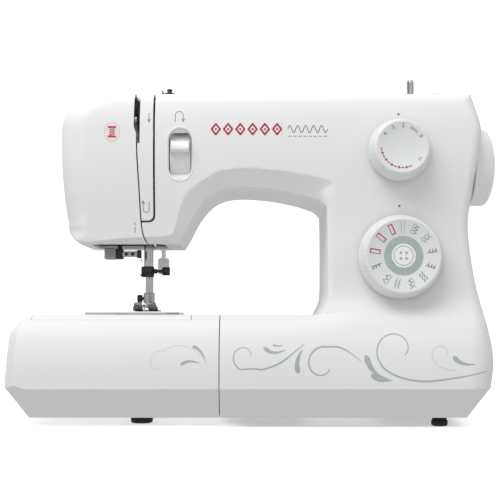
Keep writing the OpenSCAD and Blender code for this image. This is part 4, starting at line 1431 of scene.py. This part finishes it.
def body_marks():
    red = Print("thread_motif_red", on_machine, INK_RED)
    grey = Print("thread_motif_grey", on_machine, INK_GREY)
    pale = Print("thread_motif_pale", on_machine, INK_PALE)
    # a row of embroidered diamonds, a divider and a running wave
    low, high = 233.2, 242.0
    mid = (low + high) / 2
    for k in range(6):
        x = -36.5 + 9.9 * k
        red.line((x, mid), (x + 3.4, high), (x + 6.8, mid), (x + 3.4, low), (x, mid), width=1.5)
        red.ellipse(x + 3.4, mid, 0.9, 0.9, 16)
    pale.line((20.4, 230.5), (20.4, 244.5), width=0.5)
    x = np.linspace(25, 57, 60)
    grey.stroke(np.column_stack([x, mid + 3.0 * np.sin((x - 25) * 0.98)]), 0.65)
    for k in range(8):
        grey.line((25.5 + 4.1 * k, 231.8), (27.8 + 4.1 * k, 231.8), width=0.5)
    # marker dots above the dials
    for name, z in (("stitch_dial", 250.0), ("pattern_dial", 175.4)):
        grey.ellipse(DIALS[name][0] + 0.2, z, 0.95, 0.95, 18)
    # threading arrow by the tension window
    top = arc(-62.7, 249.2, 3.2, 0, 180, 12)
    grey.stroke(np.vstack([[[-59.5, 244.6]], top, [[-65.9, 243.8]]]), 0.5)
    grey.line((-60.7, 246.2), (-59.5, 244.0), (-58.3, 246.2), width=0.5)
    for made in (red, grey, pale):
        made.build("machine")
    panel = Print("thread_panel_marks", on_machine, INK_GREY)
    panel.line((-87.2, 251), (-87.2, 243.6), width=0.5)
    panel.line((-88.3, 245.8), (-87.2, 243.4), (-86.1, 245.8), width=0.5)
    bottom = arc(-89.2, 172.8, 2.4, 180, 360, 12)
    panel.stroke(np.vstack([[[-91.6, 179.5]], bottom, [[-86.8, 179.0]]]), 0.5)
    panel.line((-92.8, 177.4), (-91.6, 179.6), (-90.4, 177.4), width=0.5)
    panel.build("machine")
    # badge: an oval with a spool of thread
    ring = Print("badge_ring", on_machine, INK_PALE, 0.14)
    fill = Print("badge_fill", on_machine, INK_ROSE, 0.1)
    spool = Print("badge_spool", on_machine, INK_RED, 0.18)
    cx, cz = -116.9, 235.4
    ring.ellipse(cx, cz, 6.5, 8.3, 44, 0.9)
    fill.ellipse(cx, cz, 5.9, 7.6, 40)
    spool.line((cx - 2.9, cz + 3.9), (cx + 2.9, cz + 3.9), width=1.5)
    spool.line((cx - 2.9, cz - 3.9), (cx + 2.9, cz - 3.9), width=1.5)
    for k in range(4):
        z = cz - 2.3 + 1.45 * k
        spool.line((cx - 1.9, z - 0.35), (cx + 1.9, z + 0.45), width=0.8)
    ring.build("face_cover")
    fill.build("face_cover")
    spool.build("face_cover")
    dashes = Print("cutter_marks", on_machine, INK_GREY)
    dashes.line((-98.3, 162.3), (-98.3, 160.2), width=0.5)
    dashes.line((-98.3, 158.6), (-98.3, 154.2), width=0.6)
    dashes.build("face_cover")


scrolls()
stitch_dial_marks()
pattern_dial_marks()
body_marks()


# ---------------------------------------------------------------- tension window and dial

def tension_window():
    """A rounded collar in the front cover, with ramps above and below the dial."""
    x, z = TENSION
    half, straight = TENSION_HALF
    outline = stadium(half, straight, 24)
    front = on_machine(outline[:, 0], outline[:, 1])
    rings = []
    # across the collar from its outer lip to its inner end: how far out, how deep
    for grow, depth in ((0.9, 1.4), (0.95, 0.3), (0.6, -0.25), (0.1, -0.42), (-0.5, -0.2), (-1.0, 0.5),
                        (-1.2, 2.5), (-1.3, 12.0), (-0.3, 12.0)):
        ring = inset(outline, -grow)
        rings.append(np.stack([ring[:, 0], front + depth, ring[:, 1]], axis=1))
    collar = outward(new_mesh("tension_collar", *loft(rings, ends=False), WHITE, 50))
    place(collar, "machine", "white_shell")
    # ramps: the lower one long and open to the light, the upper one short
    rows, columns = 14, 13
    for name, z_edge, z_in, depth in (("tension_ramp_low", z - half - straight + 1.2, 205.5, 9.0),
                                      ("tension_ramp_high", z + half + straight - 1.2, 235.2, 4.0)):
        grid = np.zeros((rows, columns, 3))
        for i, t in enumerate(np.linspace(0.02, 1, rows)):
            row_z = z_edge + (z_in - z_edge) * t
            off = max(abs(row_z - z) - straight, 0)
            wide = math.sqrt(max((half - 1.1) ** 2 - off ** 2, 0.4))
            surface = float(on_machine(np.array([x]), np.array([row_z]))[0])
            sink = depth * (1 - (1 - t) ** 1.7)
            for k, s in enumerate(np.linspace(-1, 1, columns)):
                grid[i, k] = (x + wide * s, surface + 0.4 + sink - 0.8 * t * s ** 4, row_z)
        points = np.vstack([grid.reshape(-1, 3), (grid + [0, 1.4, 0]).reshape(-1, 3)])
        sheet = outward(new_mesh(name, points, sheet_faces(rows, columns), WHITE, 50))
        place(sheet, "machine", "white_shell")


def tension_knob():
    """The dial's drum with its ticks, and the finger ridge that stands out of the window."""
    low, high = corners("tension_dial")
    cy, cz = -23.5, TENSION[1]
    x0, x1 = TENSION[0] - 9, TENSION[0] + 9
    drum = np.vstack([[[-20.5, 210], [-20.5, 225]], arc(cy, cz, 21.3, 118, 248, 30)])
    ridge = np.array([[-42, 218.6], [-41.5, 227.8], [-45.6, 228.2], [-48.6, 227.2], [-50.4, 225.2],
                      [-51.4, 222.8], [-51.5, 220.7], [-50.6, 219.3], [-48.8, 218.7]])
    parts = [prism("tension_drum", drum, x0 + 0.6, x1 - 0.6, "x", 0.5, SATIN),
             prism("tension_ridge", ridge[::-1], x0 + 1.5, x1 - 1.5, "x", 1.3, SATIN),
             rod("tension_shaft", cy, cz, 3, low[0], high[0], "x", 40, SATIN)]
    for k in range(5):
        a = math.radians(196 + 9 * k)
        y, z = cy + 21.4 * math.cos(a), cz + 21.4 * math.sin(a)
        parts.append(block("tick", (x0 + 3, y - 0.25, z - 0.3), (x0 + (9 if k % 2 else 6), y + 0.25, z + 0.3),
                           material=SATIN))
    place(join("tension_knob", *parts), "tension_dial", "dial_plastic", "tension_dial")


# ---------------------------------------------------------------- fittings on top

def spool_fittings():
    """A spool pin with a rounded tip and a plate at its foot, and the cap that slides on it."""
    low, high = corners("spool_pin")
    y, z = centre("spool_cap")[1:]
    end = high[0]
    pin = lathe("spool_rod", [(1.2, low[0]), (2.4, low[0] + 0.6), (3, low[0] + 2), (3, end - 7),
                              (3, end - 5.5)], y, z, "x", 40, SATIN)
    foot = block("spool_foot", (end - 6, y - 5, low[2]), (end, y + 5, z + 5), 2.2, 0.8, "x", SATIN)
    plate = block("spool_plate", (end - 6.8, y - 7.5, z - 7.5), (end - 5.6, y + 7.5, z + 4.8), 5, 0.3,
                  "x", SATIN)
    place(join("spool_holder", pin, foot, plate), "machine", "white_shell", "spool_pin")
    x = corners("spool_cap")[0][0]
    profile = [(3.07, x), (8.2, x), (8.9, x + 0.5), (9, x + 1.3), (8.6, x + 2.2), (6.4, x + 3),
               (5.5, x + 4), (5.3, x + 8.6), (4.6, x + 9.8), (3.07, x + 9.8)]
    cap = lathe("spool_cap_turned", profile, y, z, "x", 64, SATIN, ends=False)
    place(cap, "spool_cap", "white_shell", "spool_cap")


def thread_guide():
    """A plate, a tension post with its disc, and a wire eye."""
    low, high = corners("thread_guide")
    gx, gy = centre("thread_guide")[:2]
    z = ARM_TOP
    plate = block("guide_plate", (low[0], low[1] + 0.6, z), (high[0], high[1] - 0.6, z + 1), 2, 0.3, "z",
                  STEEL)
    post = lathe("guide_post", [(2.6, z + 0.9), (1.7, z + 1.6), (1.6, z + 2.6), (4.4, z + 2.8),
                                (4.6, z + 3.3), (2.2, z + 4.2), (1.8, z + 5.6), (2.5, z + 6.2),
                                (1.9, z + 7)], gx, gy, "z", 40, DARK_METAL)
    wire = smooth_curve([[low[0] + 1.5, gy, z + 0.6], [low[0] + 1.2, gy, z + 4.5],
                         [low[0] + 0.9, gy + 2.2, z + 6], [low[0] + 1.4, gy + 3.6, z + 4.2],
                         [low[0] + 1.6, gy + 2.2, z + 3]], 6)
    eye = tube("guide_eye", wire, 0.55, 10, DARK_METAL)
    place(join("guide_turned", post, eye), "machine", "chrome", "thread_guide")
    place(plate, "machine", "chrome")


def bobbin_winder():
    """The winder's split spindle, and the bumper that stops a full bobbin."""
    def splits(angles, k):
        return -0.9 * (np.abs(np.sin(1.5 * angles)) < 0.16) if 8 <= k <= 13 else 0

    bottom, top = (corner[2] for corner in corners("winder_spindle"))
    profile = [(2, bottom), (2, 261), (3, 261.3), (3, 270.4), (6.2, 270.8), (6.5, 271.2), (6.4, 272.3),
               (3.2, 272.6), (2.95, 273.2), (2.95, top - 3.4), (3, top - 3), (3, top - 2.2), (2.7, top - 1),
               (2.2, top - 0.3), (1.4, top), (0.5, top)]
    spindle = lathe("winder_pin", profile, *centre("winder_spindle")[:2], "z", 72, CHROME, splits, 30)
    place(spindle, "winder_spindle", "chrome", "winder_spindle")
    low, high = corners("winder_stop")
    r = (high - low)[0] / 2
    top = high[2]
    profile = [(r, ARM_TOP - 0.5), (r, top - 2.2), (r - 0.5, top - 1), (r - 1.6, top - 0.25), (r - 2.6, top),
               (1.6, top), (1.4, top - 0.8), (0.3, top - 0.8)]
    stop = lathe("winder_bumper", profile, *centre("winder_stop")[:2], "z", 56, SATIN)
    place(stop, "machine", "white_shell", "winder_stop")


# ---------------------------------------------------------------- needle, foot and threader

FOOT_PIN = (15.5, 95.2)             # y and z of the pin that the presser foot rocks on


def needle_clamp():
    """A dark collar with a cross hole, a knurled thumb screw and a wire guide."""
    nx, ny = NEEDLE[:2]
    low, high = corners("needle_clamp")
    z0, z1 = low[2], high[2]
    profile = [(1.15, z0), (4.9, z0), (5.5, z0 + 0.6), (5.6, z0 + 3), (5.3, z0 + 3.4), (5.6, z0 + 3.8),
               (5.6, z1 - 0.8), (5, z1), (3.46, z1), (3.46, z0 + 1), (1.15, z0 + 1)]
    collar = lathe("clamp_collar", profile, nx, ny, "z", 56, DARK_METAL, ends=False)
    x = nx + 5.2
    end = high[0]
    profile = [(2, x), (2, x + 2.8), (1.2, x + 3.2), (1.2, x + 6), (2, x + 6.4), (2, x + 7.2),
               (3.3, x + 7.4), (3.6, x + 7.9), (3.6, x + 9), (3.6, end - 0.8), (3.2, end - 0.2), (1.4, end),
               (1.2, end - 0.6), (0.3, end - 0.6)]
    screw = lathe("clamp_screw", profile, ny, centre("needle_clamp")[2] + 0.5, "x", 96, DARK_METAL,
                  ribbed(24, 0.22, (7, 8, 9), 1), 30)
    wire = smooth_curve([[nx - 2, ny - 5.2, z0 + 2], [nx - 4.5, ny - 6.6, z0 + 0.8],
                         [nx - 5.6, ny - 5, z0 + 1.6], [nx - 5.2, ny - 1, z0 + 2.4]], 6)
    guide = tube("needle_thread_guide", wire, 0.4, 8, DARK_METAL)
    place(join("needle_clamp_turned", collar, screw, guide), "needle_bar", "chrome", "needle_clamp")


def presser_ankle():
    """A cast block round the presser bar, its screw, and the foot's holder with its lever."""
    px, py = PRESSER
    top = corners("presser_ankle")[1][2]
    z0 = 97.8
    ankle = block("ankle_body", (px - 4.6, py - 7.2, z0), (px + 4.6, py + 4.8, top), 2.4, 0.8, "z", STEEL)
    cut(ankle, "DIFFERENCE", rod("bar_way", px, py, 3.46, z0 + 0.2, top + 3, "z", 40))
    outline = np.array([[py - 7.6, 93.8], [py - 2.2, 93.8], [py - 2.2, 98.4], [py - 7.6, 98.4]])
    holder = prism("ankle_holder", outline, px - 2.5, px + 2.5, "x", 0.4, STEEL)
    cut(holder, "DIFFERENCE", rod("pin_way", *FOOT_PIN, 1.07, px - 5, px + 5, "x", 24))
    for made in (ankle, holder):
        coat(made, STEEL)
    outline = np.array([[py + 1, 97.9], [py + 6.6, 94.6], [py + 7, 95.6], [py + 3, 99.8], [py + 1, 100.2]])
    lever = prism("ankle_lever", outline, px - 1.6, px + 1.6, "x", 0.3, STEEL)
    profile = [(1.3, px - 3.8), (1.3, px - 5.6), (3.1, px - 5.8), (3.3, px - 6.4), (3.3, px - 9.3),
               (3, px - 9.9), (1.2, px - 9.9), (1, px - 9.3), (0.3, px - 9.3)]
    screw = lathe("ankle_screw", profile, py - 3, 102, "x", 64, DARK_METAL, ribbed(20, 0.2, (3, 4), 1), 30)
    place(join("ankle_turned", ankle, holder, lever), "presser", "chrome", "presser_ankle")
    place(screw, "presser", "chrome")


def presser_foot():
    """Zigzag foot: a sole with upturned toes, side walls and a pin."""
    nx, ny = NEEDLE[:2]
    rings = []
    bevel = 0.7
    for y, z_low, z_high in ((21, 91.0, 92.0), (20.4, 90.75, 92.3), (12, 90.7, 92.4), (0, 90.7, 92.3),
                             (-6, 90.7, 92.3), (-8.4, 90.9, 92.6), (-10.6, 91.6, 93.3),
                             (-12.6, 92.7, 94.5), (-14.6, 94.4, 96.1), (-16.2, 96.3, 97.7),
                             (-17.2, 97.8, 98.3)):
        half = 10.5 - (0 if y > -12 else (-12 - y) * 0.35)
        low, high = z_low + bevel * 0.6, z_high - bevel * 0.6
        ring = [(-half, low), (-half + bevel, z_low), (half - bevel, z_low), (half, low),
                (half, high), (half - bevel, z_high), (-half + bevel, z_high), (-half, high)]
        rings.append([(nx + a, y, b) for a, b in ring])
    foot = outward(new_mesh("foot_sole", *loft(rings), CHROME, 40))
    cut(foot, "DIFFERENCE",
        block("needle_hole", (nx - 4.6, ny - 2.2, 85), (nx + 4.6, ny + 2.2, 100), 1.9, axis="z"),
        block("toe_gap", (nx - 2.3, -22, 85), (nx + 2.3, ny - 1, 100), 1.2, axis="z"))
    outline = np.array([[11.6, 92], [19.4, 92], [18.6, 95.5], [17.2, 96.9], [14, 96.9], [12.4, 95.4]])
    for x in (nx - 4.2, nx + 4.2):
        cut(foot, "UNION", prism("foot_wall", outline, x - 0.8, x + 0.8, "x", 0.3))
    cut(foot, "UNION", rod("foot_pin", *FOOT_PIN, 1, nx - 3.8, nx + 3.8, "x", 24))
    coat(foot, CHROME)
    shade(foot.data, 35)
    place(foot, "presser_foot", "chrome", "presser_foot")


def presser_lifter():
    """Pivot, stem and a rounded paddle behind the head."""
    lx, lz = LIFTER
    z = corners("presser_lifter")[0][2]
    outline = np.array([[lx - 1.7, z + 12], [lx + 1.7, z + 12], [lx + 2.6, lz], [lx - 2.6, lz]])
    parts = [block("lifter_paddle", (lx - 5.2, 57.9, z), (lx + 5.2, 61, z + 15), 2.6, 0.9, "y", SATIN),
             prism("lifter_stem", outline, 58, 60.6, "y", 0.5, SATIN),
             lathe("lifter_hub", [(5.2, 57.9), (6, 58.5), (6, 60.2), (5.3, 60.9), (0.4, 60.9)], lx, lz, "y",
                   48, SATIN),
             rod("lifter_shaft", lx, lz, 2.5, 17, 58.4, "y", 32, SATIN),
             block("lifter_cam", (lx, 17, lz - 2.4), (lx + 10.6, 23, lz + 2.4), 2.2, 0.3, "y", SATIN)]
    place(join("lifter_shaped", *parts), "lifter", "white_shell", "presser_lifter")


def needle_threader():
    """A grey tab with grip ridges, its guide post, and the hook's arm."""
    x = corners("needle_threader")[0][0]
    parts = [block("threader_tab", (x, -7, 134.6), (x + 9.4, 3, 144.4), 1.4, 0.8, "y", GREY_TAB)]
    for k in range(4):
        z = 136.4 + 2.1 * k
        parts.append(block("threader_ridge", (x + 1.4, -7.6, z), (x + 8, -6.6, 137.2 + 2.1 * k), 0.3, 0.15,
                           "y", GREY_TAB))
    place(join("threader_grip", *parts), "threader", "grey_plastic", "needle_threader")
    pieces = [
        lathe("threader_post", [(1.7, 135), (2, 135.4), (2, 231.6), (1.7, 232)], -115.5, -2, "z", 32,
              DARK_METAL),
        block("threader_neck", (-118.8, -4.6, 134.8), (-112.4, 0.4, 143.6), 1, 0.4, "y", DARK),
        block("threader_link", (-113, -6, 136.6), (-99.5, -3.2, 141.4), 1.6, 0.4, "y", STEEL),
        block("threader_tip", (-100.5, -6.6, 135.6), (-97, -2.6, 142.4), 0.8, 0.3, "y", DARK),
        tube("threader_hook", [(-98.2, -4.4, 137), (-97.4, -3.4, 134.8), (-96.6, -1.6, 132.6)], 0.45, 8,
             STEEL)]
    for k, screw_x in enumerate((-109.6, -104.2)):
        pieces.append(lathe("threader_screw%d" % k, [(1.5, -5.9), (1.5, -6.5), (1.2, -6.9), (0.3, -6.9)],
                            screw_x, 139, "y", 32, DARK_METAL))
    for made in pieces:
        place(made, "threader", "grey_plastic")


# ---------------------------------------------------------------- underneath, and the needle plate

def base_pan():
    """The floor of the machine: it follows the covers' lower edge, with slots and screw wells."""
    low, high = corners("base_plate")
    thick = 2.4
    # the covers' outline is taken well above the pan, and moved in to lie inside their walls
    outline_z, moved_in = FOOT_H + 12, 9

    def field(x, y, z):
        edge = machine_field(x, y, np.full_like(z, outline_z)) + moved_in
        # the tongue below the free arm, which carries the two left feet
        tongue = np.maximum(np.abs(y) - 29.5, np.maximum(low[0] + 0.5 - x, x - BASE_LEFT - 12))
        return np.maximum(np.minimum(edge, tongue), np.maximum(low[2] - z, z - low[2] - thick))

    pan = solid_body("base_pan", field, (low[0] - 3, FRONT_Y - 3, low[2] - 3),
                     (MACHINE_HIGH[0], BACK_Y + 3, high[2] + 3), 1.2)
    bottom, top = low[2] - 4, low[2] + 6
    holes = [block("floor_slot", (40, y, bottom), (100, y + 3, top), 1.4, axis="z")
             for y in range(-35, 45, 10)]
    holes += [rod("screw_well", x, y, 3.2, bottom, top, "z", 32) for x in (-18, 172) for y in (-52, 52)]
    cut(pan, "DIFFERENCE", *holes)
    coat(pan, UNDER)
    place(pan, "machine", "grey_shell", "base_plate")


def rubber_feet():
    pads = []
    for x, y, r in ((-94, -20, 9), (-94, 20, 9), (145, -44, 6.5), (145, 44, 6.5)):
        profile = [(r - 1.6, 0), (r - 0.5, 0.5), (r, 1.6), (r, 4.2), (r - 0.8, 4.8), (r - 0.8, FOOT_H)]
        pads.append(lathe("pad", profile, x, y, "z", 48, RUBBER))
    place(join("rubber_pads", *pads), "machine", "rubber", "rubber_feet")


def seam_guides():
    """Thin lines on the needle plate, to the right of the needle."""
    high = corners("needle_plate")[1]
    lines = []
    for k in range(5):
        x = NEEDLE[0] + 23 + 3.2 * k
        if x < high[0] - 1:
            lines.append(block("guide_line", (x, -22, high[2] - 0.02), (x + 0.35, 28, high[2] + 0.05),
                               axis="z", material=INK_GREY))
    place(join("seam_lines", *lines), "machine", "dial_plastic")


tension_window()
tension_knob()
spool_fittings()
thread_guide()
bobbin_winder()
needle_clamp()
presser_ankle()
presser_foot()
presser_lifter()
needle_threader()
base_pan()
rubber_feet()
seam_guides()


def write_sizes():
    sizes = {"cad": CAD_BOUNDS, "visual": plain(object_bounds())}


write_sizes()
